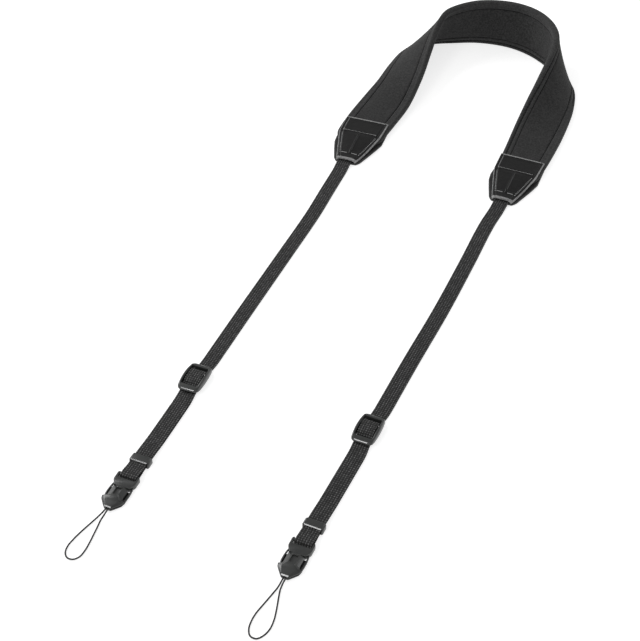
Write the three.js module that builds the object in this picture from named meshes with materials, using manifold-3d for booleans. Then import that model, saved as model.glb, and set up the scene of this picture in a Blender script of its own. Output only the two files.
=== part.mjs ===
// Camera neck strap, laid out on a flat surface. Millimetres, +Z up, the surface is z = 0.
// The padded neck piece stands on its long edge in an arch at +Y and twists down into two flat
// legs. Each leg ends in a leather tab, from which a webbing strap runs towards -Y through a
// slider and a keeper to a small side-release buckle that carries a thin cord loop.
import * as THREE from 'three';
import { mergeVertices } from 'three/addons/utils/BufferGeometryUtils.js';
import Module from 'manifold-3d';

const wasm = await Module();
wasm.setup();

// ---------------------------------------------------------------- driving dimensions

const WEB = { width: 10, thick: 1 };
const GAP = 0.25;
// Where the webbing turns round the buckle's bar and round the slider's middle bar: the height
// of the buckle bar's middle, the radius of the webbing's middle line in each turn, and where
// the turn round the middle bar and the end of the sewn tail lie, from the slider's middle.
const WEB_TURN = { barMiddle: 2.1, barTurn: 1.35, wrapTurn: 1.2, wrapAt: 3.4, wrapTail: -2.6 };

// Neck pad. A row is one section across the pad: x, y = middle of its width in plan,
// lean = angle of the width above the surface (0 lies flat, 90 stands on edge, more leans out),
// width, thick = crown thickness, lift = height of the lowest edge above the surface.
const PAD_ROWS = [
  { x: -57.0, y: 90, lean: 0, width: 15, thick: 1.8, lift: 1.4 },
  { x: -57.2, y: 97, lean: 0, width: 25, thick: 2.7, lift: 1.4 },
  { x: -57.6, y: 106, lean: 0, width: 33, thick: 3.4, lift: 1.4 },
  { x: -56.8, y: 128, lean: 1, width: 35, thick: 4.2, lift: 1.0 },
  { x: -55.2, y: 152, lean: 6, width: 36, thick: 5.0, lift: 0 },
  { x: -54.4, y: 176, lean: 19, width: 36, thick: 5.0, lift: 0 },
  { x: -55.4, y: 201, lean: 32, width: 36.5, thick: 5.0, lift: 0 },
  { x: -55.2, y: 220, lean: 43, width: 37, thick: 5.0, lift: 0 },
  { x: -49.6, y: 239, lean: 60, width: 38, thick: 5.0, lift: 0 },
  { x: -38.2, y: 250, lean: 74, width: 38, thick: 5.0, lift: 0 },
  { x: -20.0, y: 261, lean: 84, width: 38, thick: 5.0, lift: 0 },
  { x: 2.0, y: 265, lean: 90, width: 38, thick: 5.0, lift: 0 },
  { x: 20.0, y: 261, lean: 92, width: 38, thick: 5.0, lift: 0 },
  { x: 36.0, y: 250, lean: 88, width: 38, thick: 5.0, lift: 0 },
  { x: 47.5, y: 236, lean: 79, width: 37.5, thick: 5.0, lift: 0 },
  { x: 55.0, y: 219, lean: 59, width: 36.5, thick: 5.0, lift: 0 },
  { x: 57.3, y: 196, lean: 38, width: 35, thick: 5.0, lift: 0 },
  { x: 57.4, y: 176, lean: 22, width: 34.6, thick: 5.0, lift: 0 },
  { x: 57.2, y: 155, lean: 8, width: 34.4, thick: 5.0, lift: 0 },
  { x: 57.4, y: 129, lean: 1, width: 33, thick: 4.2, lift: 1.0 },
  { x: 57.0, y: 106, lean: 0, width: 31, thick: 3.4, lift: 1.4 },
  { x: 56.8, y: 97, lean: 0, width: 24, thick: 2.7, lift: 1.4 },
  { x: 56.7, y: 90, lean: 0, width: 15, thick: 1.8, lift: 1.4 },
];
const PAD_STEPS_PER_ROW = 3;

// Cross-section of the pad at its full 5 mm crown: edge = distance in from the long edge,
// half = half thickness there. The rim is pinched to take the edge binding.
const PAD_CROWN = 5;
const CORE_RIM = [
  { edge: 1.5, half: 0.5 },
  { edge: 2.1, half: 0.95 },
  { edge: 6.0, half: 0.95 },
  { edge: 6.7, half: 2.1 },
  { edge: 11, half: 2.45 },
];
// Edge binding: a folded tape of 1 mm, outer and inner outline of one half of its U section.
const TAPE_OUTER = [
  { edge: 0, half: 0.9 },
  { edge: 0.5, half: 1.75 },
  { edge: 1.6, half: 2.3 },
  { edge: 5.5, half: 2.3 },
];
const TAPE_INNER = [
  { edge: 5.5, half: 1.3 },
  { edge: 1.7, half: 1.3 },
  { edge: 1.0, half: 0.6 },
];

// Leather tab, y measured from its mouth towards the pad. half = half width, mid and edge =
// height of the underside at the middle and at the sides.
const LEATHER = 1.2;
const TAB_FRONT = [
  { y: 0, half: 6.7, mid: 3.6, edge: 1.9 },
  { y: 2.5, half: 7.6, mid: 3.1, edge: 1.6 },
  { y: 7, half: 8.9, mid: 3.0, edge: 1.6 },
  { y: 14, half: 10.9, mid: 3.8, edge: 2.2 },
  { y: 21, half: 12.8, mid: 4.6, edge: 3.6 },
  { y: 29, half: 14.8, mid: 5.2, edge: 5.0 },
  { y: 38, half: 15.2, mid: 5.45, edge: 5.25 },
  { y: 46.5, half: 15.4, mid: 5.7, edge: 5.5 },
];
const TAB_BACK = [
  { y: 0.5, half: 7.6, mid: 0, edge: 0.3 },
  { y: 3, half: 9.6, mid: 0, edge: 0.4 },
  { y: 12, half: 12.8, mid: 0, edge: 0.9 },
  { y: 20, half: 15.4, mid: 0, edge: 1.2 },
  { y: 28, half: 16.7, mid: 0, edge: 0.2 },
  { y: 34, half: 16.4, mid: 0, edge: 0 },
  { y: 45.5, half: 16, mid: 0, edge: 0 },
];

// The two legs. route = middle of the webbing in plan, from inside the tab to the buckle tip;
// mouth and tabTurn place the tab; slider, keeper and bar are the y of each fitting's middle;
// jog is how far the slider pulls the webbing aside.
const LEGS = {
  left: {
    mouth: { x: -55.8, y: 75 },
    tabTurn: 2.3,
    jog: -0.9,
    slider: -156.5,
    keeper: -224.1,
    bar: -237.2,
    route: [
      { x: -57.1, y: 90 },
      { x: -56.6, y: 75 },
      { x: -55.5, y: 43 },
      { x: -54.3, y: 12 },
      { x: -54.5, y: -35 },
      { x: -54.9, y: -100 },
      { x: -54.9, y: -156 },
      { x: -54.9, y: -200 },
      { x: -55.1, y: -235 },
      { x: -55.3, y: -266 },
    ],
  },
  right: {
    mouth: { x: 56.2, y: 73 },
    tabTurn: -0.6,
    jog: -1,
    slider: -156,
    keeper: -229.9,
    bar: -242.6,
    route: [
      { x: 56.5, y: 90 },
      { x: 56.2, y: 73 },
      { x: 54.5, y: 46 },
      { x: 54.8, y: 5 },
      { x: 54.6, y: -45 },
      { x: 53.0, y: -95 },
      { x: 51.7, y: -156 },
      { x: 50.2, y: -205 },
      { x: 49.1, y: -240 },
      { x: 48.8, y: -272 },
    ],
  },
};

// Distance over which the webbing swings back in line beyond the slider.
const JOG_REACH = 14;

// Cord loops: the middle of a thin cord from inside the buckle tip, round and back.
const CORD = { diameter: 0.9, sides: 8, steps: 64 };
const CORD_ROUTES = {
  left: [
    [-55.8, -258.0, 2.1],
    [-55.9, -261.4, 2.0],
    [-56.6, -264.0, 1.4],
    [-57.7, -267.2, 0.7],
    [-58.8, -271.0, 0.5],
    [-60.0, -275.6, 0.5],
    [-61.1, -280.2, 0.5],
    [-62.0, -285.0, 0.5],
    [-62.4, -289.8, 0.5],
    [-61.4, -293.9, 0.5],
    [-58.9, -296.4, 0.5],
    [-55.6, -296.2, 0.5],
    [-53.4, -293.6, 0.5],
    [-52.8, -288.8, 0.5],
    [-53.2, -283.2, 0.5],
    [-53.9, -277.8, 0.5],
    [-54.6, -272.6, 0.5],
    [-55.1, -268.6, 0.7],
    [-54.9, -264.6, 1.4],
    [-54.7, -261.4, 2.0],
    [-54.6, -258.0, 2.1],
  ],
  right: [
    [48.3, -263.4, 2.1],
    [48.2, -266.8, 2.0],
    [48.0, -269.4, 1.4],
    [47.6, -272.6, 0.7],
    [46.9, -276.0, 0.5],
    [46.0, -280.6, 0.5],
    [45.0, -285.6, 0.5],
    [44.1, -290.4, 0.5],
    [43.9, -295.4, 0.5],
    [44.7, -300.4, 0.5],
    [47.0, -303.9, 0.5],
    [50.4, -304.2, 0.5],
    [52.9, -301.3, 0.5],
    [54.2, -296.6, 0.5],
    [53.9, -291.0, 0.5],
    [52.6, -285.2, 0.5],
    [51.2, -280.2, 0.5],
    [50.0, -276.0, 0.5],
    [49.3, -272.8, 0.7],
    [49.2, -269.4, 1.4],
    [49.4, -266.8, 2.0],
    [49.5, -263.4, 2.1],
  ],
};

// Slider: a bowed frame, y along the strap, z up from the surface.
const SLIDER = {
  halfLength: 11.2,
  halfWidth: 7,
  corner: 3,
  base: 1.9,
  endTop: 4.2,
  crest: 5.8,
  window: 5.25,
  farBar: 7.9,
  nearBar: -7.4,
  nearClear: 2.75,
};
const MIDDLE_BAR = { far: 3.7, near: -3.4, low: 1.25, high: 2.05 };

// The webbing's middle line through the slider: y from the slider's middle, z from the surface.
const SLIDER_PASS = [
  [9.8, 0.5],
  [8.7, 0.52],
  [7.8, 0.6],
  [7.05, 1.0],
  [6.5, 1.9],
  [6.2, 3.1],
  [5.5, 4.1],
  [4.3, 4.7],
  [2, 4.85],
  [-1.5, 4.8],
  [-3.8, 4.4],
  [-5.3, 3.6],
  [-6.4, 2.4],
  [-7.6, 1.75],
  [-9.2, 1.6],
];

// Keeper: a chamfered ring round both layers of webbing.
const KEEPER = { halfLength: 2.6, halfWidth: 5.9, height: 3.9, wall: 0.6, hole: 5.25, chamfer: 0.9 };

// Side-release buckle, u = distance from the webbing bar's outer edge towards the tip.
const BUCKLE = {
  halfWidth: 6.5,
  low: 0.5,
  high: 3.7,
  barEnd: 2,
  barRadius: 0.6,
  slotEnd: 4,
  plateEnd: 9.4,
  armEnd: 17.1,
  armOuter: 6.35,
  armInner: 5.45,
  armLow: 0.9,
  armHigh: 2.2,
};
const CAP = {
  start: 9.7,
  channel: 4.5,
  shoulder: 17.5,
  halfWidth: 6.6,
  taper: 20.4,
  tip: 24.7,
  tipHalf: 2.5,
  low: 0.1,
  high: 4.1,
  bevel: 0.8,
};

// ---------------------------------------------------------------- materials

const finish = (color, roughness) =>
  new THREE.MeshStandardMaterial({ color, roughness, metalness: 0 });
const neoprene = finish(0x2a2b2d, 0.9);
const bindingTape = finish(0x2f3032, 0.8);
const leather = finish(0x141414, 0.35);
const webbing = finish(0x1c1c1d, 0.75);
const plastic = finish(0x26282a, 0.42);
const cordThread = finish(0x1a1a1a, 0.7);

const strap = new THREE.Group();

// ---------------------------------------------------------------- geometry helpers

// One closed, indexed body with flat normals.
function closedBody(geometry) {
  geometry.deleteAttribute('normal');
  geometry.deleteAttribute('uv');
  const merged = mergeVertices(geometry, 1e-5);
  merged.computeVertexNormals();
  return merged;
}

// Six times the volume inside a closed mesh, negative where its faces point inwards.
function signedVolume(positions, index) {
  const corner = (i) => new THREE.Vector3(...positions.slice(3 * index[i], 3 * index[i] + 3));
  let total = 0;
  for (let i = 0; i < index.length; i += 3) {
    total += corner(i).dot(corner(i + 1).cross(corner(i + 2)));
  }
  return total;
}

// A tube through sections that all have the same outline; the outline triangulates the ends.
function loft(sections, outline) {
  const count = outline.length;
  const positions = sections.flat().flatMap((p) => [p.x, p.y, p.z]);
  const index = [];
  for (let s = 0; s + 1 < sections.length; s++) {
    for (let i = 0; i < count; i++) {
      const a = s * count + i;
      const b = s * count + ((i + 1) % count);
      index.push(a, b, a + count, b, b + count, a + count);
    }
  }
  const last = (sections.length - 1) * count;
  const turnsLeft = THREE.ShapeUtils.area(outline) > 0;
  for (const [a, b, c] of THREE.ShapeUtils.triangulateShape(outline, [])) {
    const end = turnsLeft ? [a, b, c] : [a, c, b];
    index.push(end[0], end[2], end[1]);
    index.push(last + end[0], last + end[1], last + end[2]);
  }
  if (signedVolume(positions, index) < 0) index.reverse();
  const geometry = new THREE.BufferGeometry();
  geometry.setAttribute('position', new THREE.Float32BufferAttribute(positions, 3));
  geometry.setIndex(index);
  return closedBody(geometry);
}

function toManifold(geometry) {
  const body = closedBody(geometry);
  return new wasm.Manifold(
    new wasm.Mesh({
      numProp: 3,
      vertProperties: new Float32Array(body.attributes.position.array),
      triVerts: new Uint32Array(body.index.array),
    }),
  );
}

function fromManifold(manifold) {
  const mesh = manifold.getMesh();
  const geometry = new THREE.BufferGeometry();
  geometry.setAttribute('position', new THREE.BufferAttribute(mesh.vertProperties, 3));
  geometry.setIndex(new THREE.BufferAttribute(mesh.triVerts, 1));
  geometry.computeVertexNormals();
  return geometry;
}

// A box given by its limits along x, y and z.
function block([x0, x1], [y0, y1], [z0, z1]) {
  const box = new THREE.BoxGeometry(x1 - x0, y1 - y0, z1 - z0);
  box.translate((x0 + x1) / 2, (y0 + y1) / 2, (z0 + z1) / 2);
  return toManifold(box);
}

// An outline in plan, raised from z0 to z1, its top edge cut back by bevel.
function raised(shape, z0, z1, bevel = 0) {
  const straight = new THREE.ExtrudeGeometry(shape, {
    depth: z1 - z0 - bevel,
    bevelEnabled: bevel > 0,
    bevelThickness: bevel,
    bevelSize: bevel,
    bevelOffset: -bevel,
    bevelSegments: 1,
    curveSegments: 4,
  });
  straight.translate(0, 0, z0);
  const solid = toManifold(straight);
  if (bevel === 0) return solid;
  return solid.intersect(block([-40, 40], [-40, 40], [z0, z1]));
}

function addPiece(name, geometry, material, parent = strap) {
  const mesh = new THREE.Mesh(geometry, material);
  mesh.name = name;
  parent.add(mesh);
  return mesh;
}

// ---------------------------------------------------------------- neck pad and bindings

const padPath = new THREE.CatmullRomCurve3(
  PAD_ROWS.map((row) => new THREE.Vector3(row.x, row.y, row.lean)),
);
const padSize = new THREE.CatmullRomCurve3(
  PAD_ROWS.map((row) => new THREE.Vector3(row.width, row.thick, row.lift)),
);

// The pad's section at t: where its width and thickness point, and how big it is there.
function padSection(t) {
  const place = padPath.getPoint(t);
  const along = padPath.getTangent(t);
  const size = padSize.getPoint(t);
  const lean = THREE.MathUtils.degToRad(place.z);
  const inward = new THREE.Vector3(along.y, -along.x, 0).normalize();
  const up = new THREE.Vector3(0, 0, 1);
  const across = inward.clone().multiplyScalar(Math.cos(lean));
  across.addScaledVector(up, Math.sin(lean));
  const outer = inward.clone().multiplyScalar(-Math.sin(lean));
  outer.addScaledVector(up, Math.cos(lean));
  const [width, thick, lift] = size.toArray();
  const radius = thick / 2;
  const height = lift + radius + (width / 2 - radius) * Math.sin(lean);
  const centre = new THREE.Vector3(place.x, place.y, height);
  return { centre, across, outer, width, scale: thick / PAD_CROWN };
}

// Points of an outline on every section; a point's x runs from the outer edge to the inner edge.
function padLoft(outlineAt) {
  const steps = (PAD_ROWS.length - 1) * PAD_STEPS_PER_ROW;
  const sections = [];
  for (let i = 0; i <= steps; i++) {
    const section = padSection(i / steps);
    const points = outlineAt(section.width).map((p) =>
      section.centre
        .clone()
        .addScaledVector(section.across, p.x - section.width / 2)
        .addScaledVector(section.outer, p.y * section.scale),
    );
    sections.push(points);
  }
  return loft(sections, outlineAt(PAD_ROWS[0].width));
}

// The rim rows keep their distance from the edge, squeezed where the pad is narrow.
const rimScale = (width) => Math.min(1, width / 30);

function coreOutline(width) {
  const k = rimScale(width);
  const lower = CORE_RIM.map((r) => new THREE.Vector2(r.edge * k, -r.half));
  const lowerFar = [...CORE_RIM].reverse().map((r) => new THREE.Vector2(width - r.edge * k, -r.half));
  const half = [...lower, ...lowerFar];
  return [...half, ...[...half].reverse().map((p) => new THREE.Vector2(p.x, -p.y))];
}

function tapeOutline(width) {
  const k = rimScale(width);
  const under = [...TAPE_OUTER].map((r) => new THREE.Vector2(r.edge * k, -r.half));
  const inside = TAPE_INNER.map((r) => new THREE.Vector2(r.edge * k, -r.half));
  const half = [...under, ...inside];
  return [...half, ...[...half].reverse().map((p) => new THREE.Vector2(p.x, -p.y))];
}

const farTapeOutline = (width) =>
  tapeOutline(width)
    .map((p) => new THREE.Vector2(width - p.x, p.y))
    .reverse();

addPiece('neck_pad', padLoft(coreOutline), neoprene);
addPiece('outer_edge_binding', padLoft(tapeOutline), bindingTape);
addPiece('inner_edge_binding', padLoft(farTapeOutline), bindingTape);

// ---------------------------------------------------------------- leather tabs

const SHEET_COLUMNS = 12;

// A leather sheet with straight ends, its height rounded off towards the sides.
function leatherSheet(rows) {
  const sections = rows.map((row) => {
    const points = [];
    for (let i = 0; i <= SHEET_COLUMNS; i++) {
      const v = (2 * i) / SHEET_COLUMNS - 1;
      const z = row.edge + (row.mid - row.edge) * (1 - v ** 6);
      points.push(new THREE.Vector3(v * row.half, row.y, z));
    }
    const top = [...points].reverse().map((p) => new THREE.Vector3(p.x, p.y, p.z + LEATHER));
    return [...points, ...top];
  });
  const outline = sections[0].map((p) => new THREE.Vector2(p.x, p.z));
  return loft(sections, outline);
}

for (const [side, leg] of Object.entries(LEGS)) {
  const tab = new THREE.Group();
  tab.position.set(leg.mouth.x, leg.mouth.y, 0);
  tab.rotation.z = THREE.MathUtils.degToRad(leg.tabTurn);
  strap.add(tab);
  addPiece(`${side}_tab_front`, leatherSheet(TAB_FRONT), leather, tab);
  addPiece(`${side}_tab_back`, leatherSheet(TAB_BACK), leather, tab);
}

// ---------------------------------------------------------------- webbing

// x of a leg's middle line at a given y, on a smooth curve through its route.
function legX(leg, y) {
  const route = leg.route;
  let i = route.findIndex((p) => p.y <= y);
  i = Math.min(Math.max(i, 1), route.length - 1);
  const slope = (a, b) => (route[b].x - route[a].x) / (route[b].y - route[a].y);
  const start = slope(Math.max(i - 2, 0), i);
  const end = slope(i - 1, Math.min(i + 1, route.length - 1));
  const span = route[i].y - route[i - 1].y;
  const t = (y - route[i - 1].y) / span;
  const [t2, t3] = [t * t, t * t * t];
  const aside = leg.jog * Math.exp(-(((y - leg.slider) / JOG_REACH) ** 4));
  return (
    aside +
    (2 * t3 - 3 * t2 + 1) * route[i - 1].x +
    (t3 - 2 * t2 + t) * span * start +
    (3 * t2 - 2 * t3) * route[i].x +
    (t3 - t2) * span * end
  );
}

// Stations in the strap's side view: [y, z] pairs.
function easeTo(from, to, steps) {
  const stations = [];
  for (let i = 1; i <= steps; i++) {
    const t = i / steps;
    const rise = (1 - Math.cos(Math.PI * t)) / 2;
    stations.push([from[0] + (to[0] - from[0]) * t, from[1] + (to[1] - from[1]) * rise]);
  }
  return stations;
}

function turnRound([y, z], radius, startDeg, endDeg, steps) {
  const stations = [];
  for (let i = 0; i <= steps; i++) {
    const a = THREE.MathUtils.degToRad(startDeg + ((endDeg - startDeg) * i) / steps);
    stations.push([y + radius * Math.cos(a), z + radius * Math.sin(a)]);
  }
  return stations;
}

// One length of webbing: out of the tab, over the slider's middle bar, through the keeper,
// round the buckle bar, and back beneath to be sewn round the slider's middle bar.
function webbingStations(leg) {
  const half = WEB.thick / 2;
  const flat = half;
  const stacked = half + WEB.thick + GAP;
  const { slider, keeper, bar } = leg;
  const keeperLow = 1.3;
  const keeperHigh = keeperLow + WEB.thick + GAP;
  const { barMiddle, barTurn, wrapTurn, wrapAt, wrapTail } = WEB_TURN;
  const wrapMiddle = flat + wrapTurn;
  const points = [[leg.mouth.y + 13.4, 1.95]];
  const run = (to, steps) => points.push(...easeTo(points[points.length - 1], to, steps));
  run([leg.mouth.y, 1.95], 3);
  run([leg.mouth.y - 12, flat], 6);
  run([slider + 11, flat], 16);
  points.push(...SLIDER_PASS.map(([y, z]) => [slider + y, z]));
  run([keeper + 20, stacked], 4);
  run([keeper + 4, keeperHigh], 5);
  run([keeper - 4, keeperHigh], 1);
  run([bar + 1.2, barMiddle + barTurn], 4);
  points.push(...turnRound([bar, barMiddle], barTurn, 90, 270, 10));
  run([bar + 1.6, barMiddle - barTurn], 1);
  run([keeper - 4, keeperLow], 4);
  run([keeper + 4, keeperLow], 1);
  run([keeper + 20, flat], 5);
  run([slider - 8, flat], 4);
  points.push(...turnRound([slider + wrapAt, wrapMiddle], wrapTurn, -90, 90, 8));
  run([slider + wrapTail, wrapMiddle + wrapTurn], 1);
  return points;
}

function webbingStrap(leg) {
  const stations = webbingStations(leg);
  const outline = [
    new THREE.Vector2(-WEB.width / 2, -WEB.thick / 2),
    new THREE.Vector2(WEB.width / 2, -WEB.thick / 2),
    new THREE.Vector2(WEB.width / 2, WEB.thick / 2),
    new THREE.Vector2(-WEB.width / 2, WEB.thick / 2),
  ];
  const sections = stations.map(([y, z], i) => {
    const before = stations[Math.max(i - 1, 0)];
    const after = stations[Math.min(i + 1, stations.length - 1)];
    const along = new THREE.Vector2(after[0] - before[0], after[1] - before[1]).normalize();
    const x = legX(leg, y);
    const lean = (legX(leg, y + 1) - legX(leg, y - 1)) / 2;
    const across = new THREE.Vector3(1, -lean, 0).normalize();
    const normal = new THREE.Vector3(-lean * along.y, along.y, -along.x);
    normal.normalize();
    return outline.map((p) =>
      new THREE.Vector3(x, y, z)
        .addScaledVector(across, p.x)
        .addScaledVector(normal, p.y),
    );
  });
  return loft(sections, outline);
}

for (const [side, leg] of Object.entries(LEGS)) {
  addPiece(`${side}_webbing`, webbingStrap(leg), webbing);
}

// ---------------------------------------------------------------- slider

// Plan outline of a rectangle with round corners.
function roundedPlan(halfWidth, halfLength, radius) {
  const shape = new THREE.Shape();
  const [w, l, r] = [halfWidth, halfLength, radius];
  shape.moveTo(w, l - r);
  shape.absarc(w - r, l - r, r, 0, Math.PI / 2);
  shape.absarc(r - w, l - r, r, Math.PI / 2, Math.PI);
  shape.absarc(r - w, r - l, r, Math.PI, 1.5 * Math.PI);
  shape.absarc(w - r, r - l, r, 1.5 * Math.PI, 2 * Math.PI);
  return shape;
}

// Side view of the bowed frame, extruded across the strap.
function bowedBlock() {
  const { halfLength: l, base, endTop, crest } = SLIDER;
  const side = new THREE.Shape();
  side.moveTo(0.6 - l, base);
  side.lineTo(l - 0.6, base);
  side.lineTo(l, base + 0.6);
  side.lineTo(l, endTop - 0.7);
  side.lineTo(l - 0.6, endTop);
  side.quadraticCurveTo(0, 2 * crest - endTop, 0.6 - l, endTop);
  side.lineTo(-l, endTop - 0.7);
  side.lineTo(-l, base + 0.6);
  side.closePath();
  const geometry = new THREE.ExtrudeGeometry(side, {
    depth: 20,
    bevelEnabled: false,
    curveSegments: 10,
  });
  geometry.translate(0, 0, -10);
  geometry.rotateY(Math.PI / 2);
  geometry.rotateX(Math.PI / 2);
  return toManifold(geometry);
}

function sliderFrame() {
  const s = SLIDER;
  const across = [-s.window, s.window];
  const plan = raised(roundedPlan(s.halfWidth, s.halfLength, s.corner), 0, 8);
  const frame = bowedBlock().intersect(plan);
  const bar = [MIDDLE_BAR.near, MIDDLE_BAR.far];
  return frame
    .subtract(block(across, [s.nearBar, s.farBar], [MIDDLE_BAR.high, 9]))
    .subtract(block(across, [bar[1], s.farBar], [-1, 9]))
    .subtract(block(across, [s.nearBar, bar[0]], [-1, 9]))
    .subtract(block(across, bar, [-1, MIDDLE_BAR.low]))
    .subtract(block(across, [-20, s.nearBar + 1], [-1, s.nearClear]));
}

// ---------------------------------------------------------------- keeper

function keeperRing() {
  const k = KEEPER;
  const ring = new THREE.Shape();
  ring.moveTo(-k.halfWidth, 0);
  ring.lineTo(k.halfWidth, 0);
  ring.lineTo(k.halfWidth, k.height - k.chamfer);
  ring.lineTo(k.halfWidth - k.chamfer, k.height);
  ring.lineTo(k.chamfer - k.halfWidth, k.height);
  ring.lineTo(-k.halfWidth, k.height - k.chamfer);
  ring.closePath();
  const solid = new THREE.ExtrudeGeometry(ring, { depth: 2 * k.halfLength, bevelEnabled: false });
  solid.rotateX(Math.PI / 2);
  solid.translate(0, k.halfLength, 0);
  const hole = block([-k.hole, k.hole], [-9, 9], [k.wall, k.height - k.wall]);
  return toManifold(solid).subtract(hole);
}

// ---------------------------------------------------------------- side-release buckle

// A plan outline from points [across, u], mirrored left to right, with u towards the tip.
function mirroredPlan(points) {
  const right = points.map(([v, u]) => new THREE.Vector2(v, -u));
  const left = [...points].reverse().map(([v, u]) => new THREE.Vector2(-v, -u));
  return new THREE.Shape([...right, ...left]);
}

function buckleBody() {
  const b = BUCKLE;
  const plate = raised(
    mirroredPlan([
      [b.halfWidth - 0.8, 0],
      [b.halfWidth, 1],
      [b.halfWidth, 6.2],
      [b.halfWidth - 0.6, 7.4],
      [b.halfWidth - 0.6, 8.4],
      [b.armInner - 1, b.plateEnd],
    ]),
    b.low,
    b.high,
    0.6,
  );
  const rod = new THREE.CylinderGeometry(b.barRadius, b.barRadius, 11.2, 12);
  rod.rotateZ(Math.PI / 2);
  rod.translate(0, -b.barEnd / 2, WEB_TURN.barMiddle);
  const bar = toManifold(rod);
  const slot = block([-5.35, 5.35], [-b.slotEnd, 1], [-1, 9]);
  const tongue = raised(mirroredPlan([[3, b.plateEnd - 1], [3, 15], [2.2, 16.2]]), 1.5, 2.7);
  let body = plate.subtract(slot).add(bar).add(tongue);
  for (const sign of [-1, 1]) {
    const arm = new THREE.Shape(
      [
        [b.armInner, 7],
        [b.armOuter - 0.2, 7],
        [b.armOuter + 0.2, 12],
        [b.armOuter, b.armEnd],
        [b.armInner + 0.1, b.armEnd],
        [b.armInner + 0.3, 12],
      ].map(([v, u]) => new THREE.Vector2(sign * v, -u)),
    );
    body = body.add(raised(arm, b.armLow, b.armHigh));
  }
  return body;
}

function buckleCap() {
  const c = CAP;
  const channel = raised(mirroredPlan([[c.channel, c.start], [c.channel, c.shoulder + 1]]), 0.6, 4, 0.7);
  const arrow = raised(
    mirroredPlan([
      [c.channel, c.shoulder],
      [c.halfWidth, c.shoulder + 0.8],
      [c.halfWidth - 0.7, c.taper - 0.4],
      [c.tipHalf + 1.1, c.tip - 1.6],
      [c.tipHalf - 0.5, c.tip],
    ]),
    c.low,
    c.high,
    c.bevel,
  );
  const pocket = block([-3.3, 3.3], [-16.8, 1 - c.start], [1.2, 3]);
  const recess = block([-1.5, 1.5], [-16, -11.2], [3.3, 9]);
  const cordSlot = block([-1.7, 1.7], [-30, -20.9], [1.4, 2.8]);
  return channel.add(arrow).subtract(pocket).subtract(recess).subtract(cordSlot);
}

// ---------------------------------------------------------------- fittings on each leg

for (const [side, leg] of Object.entries(LEGS)) {
  const place = (y) => {
    const group = new THREE.Group();
    group.position.set(legX(leg, y), y, 0);
    group.rotation.z = -Math.atan((legX(leg, y + 4) - legX(leg, y - 4)) / 8);
    strap.add(group);
    return group;
  };
  addPiece(`${side}_slider`, fromManifold(sliderFrame()), plastic, place(leg.slider));
  addPiece(`${side}_keeper`, fromManifold(keeperRing()), plastic, place(leg.keeper));
  const buckle = place(leg.bar + BUCKLE.barEnd / 2);
  addPiece(`${side}_buckle_body`, fromManifold(buckleBody()), plastic, buckle);
  addPiece(`${side}_buckle_cap`, fromManifold(buckleCap()), plastic, buckle);
}

// ---------------------------------------------------------------- cord loops

for (const [side, route] of Object.entries(CORD_ROUTES)) {
  const path = new THREE.CatmullRomCurve3(route.map((p) => new THREE.Vector3(...p)));
  const circle = new THREE.Shape();
  circle.absarc(0, 0, CORD.diameter / 2, 0, 2 * Math.PI);
  const tube = new THREE.ExtrudeGeometry(circle, {
    steps: CORD.steps,
    extrudePath: path,
    curveSegments: CORD.sides / 2,
    bevelEnabled: false,
  });
  addPiece(`${side}_cord_loop`, closedBody(tube), cordThread);
}

export default strap;
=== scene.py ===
import math
import bmesh
import bpy
import numpy as np
from mathutils import Matrix, Vector


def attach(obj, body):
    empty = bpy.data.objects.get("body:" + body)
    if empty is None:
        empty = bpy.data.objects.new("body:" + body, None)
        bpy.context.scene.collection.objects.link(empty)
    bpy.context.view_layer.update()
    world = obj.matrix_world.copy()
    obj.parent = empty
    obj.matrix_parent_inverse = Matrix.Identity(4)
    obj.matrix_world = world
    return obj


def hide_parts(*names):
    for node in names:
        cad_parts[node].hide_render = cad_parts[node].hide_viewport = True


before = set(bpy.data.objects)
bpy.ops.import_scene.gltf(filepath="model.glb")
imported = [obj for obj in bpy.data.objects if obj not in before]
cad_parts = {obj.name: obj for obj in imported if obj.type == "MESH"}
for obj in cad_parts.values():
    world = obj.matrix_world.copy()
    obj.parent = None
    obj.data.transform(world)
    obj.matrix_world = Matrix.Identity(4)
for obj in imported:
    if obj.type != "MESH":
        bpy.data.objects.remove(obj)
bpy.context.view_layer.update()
MM = 0.001

# ---------------------------------------------------------------- camera
# The strap lies on a table, buckles towards the viewer, and is seen from above the right buckle
# through a long lens, so that the two legs stay almost parallel.
CAMERA_AIM = Vector((-0.010, -0.080, 0.0))
CAMERA_DISTANCE = 0.859
CAMERA_HEIGHT_ANGLE = math.radians(42)
CAMERA_TURN = math.radians(22.7)

towards_camera = Vector((
    math.sin(CAMERA_TURN) * math.cos(CAMERA_HEIGHT_ANGLE),
    -math.cos(CAMERA_TURN) * math.cos(CAMERA_HEIGHT_ANGLE),
    math.sin(CAMERA_HEIGHT_ANGLE),
))
camera_data = bpy.data.cameras.new("camera")
camera_data.lens = 80
camera_data.sensor_width = 36
camera = bpy.data.objects.new("camera", camera_data)
camera.location = CAMERA_AIM + CAMERA_DISTANCE * towards_camera
camera.rotation_mode = "QUATERNION"
camera.rotation_quaternion = (-towards_camera).to_track_quat("-Z", "Y")
bpy.context.collection.objects.link(camera)
bpy.context.scene.camera = camera

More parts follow.
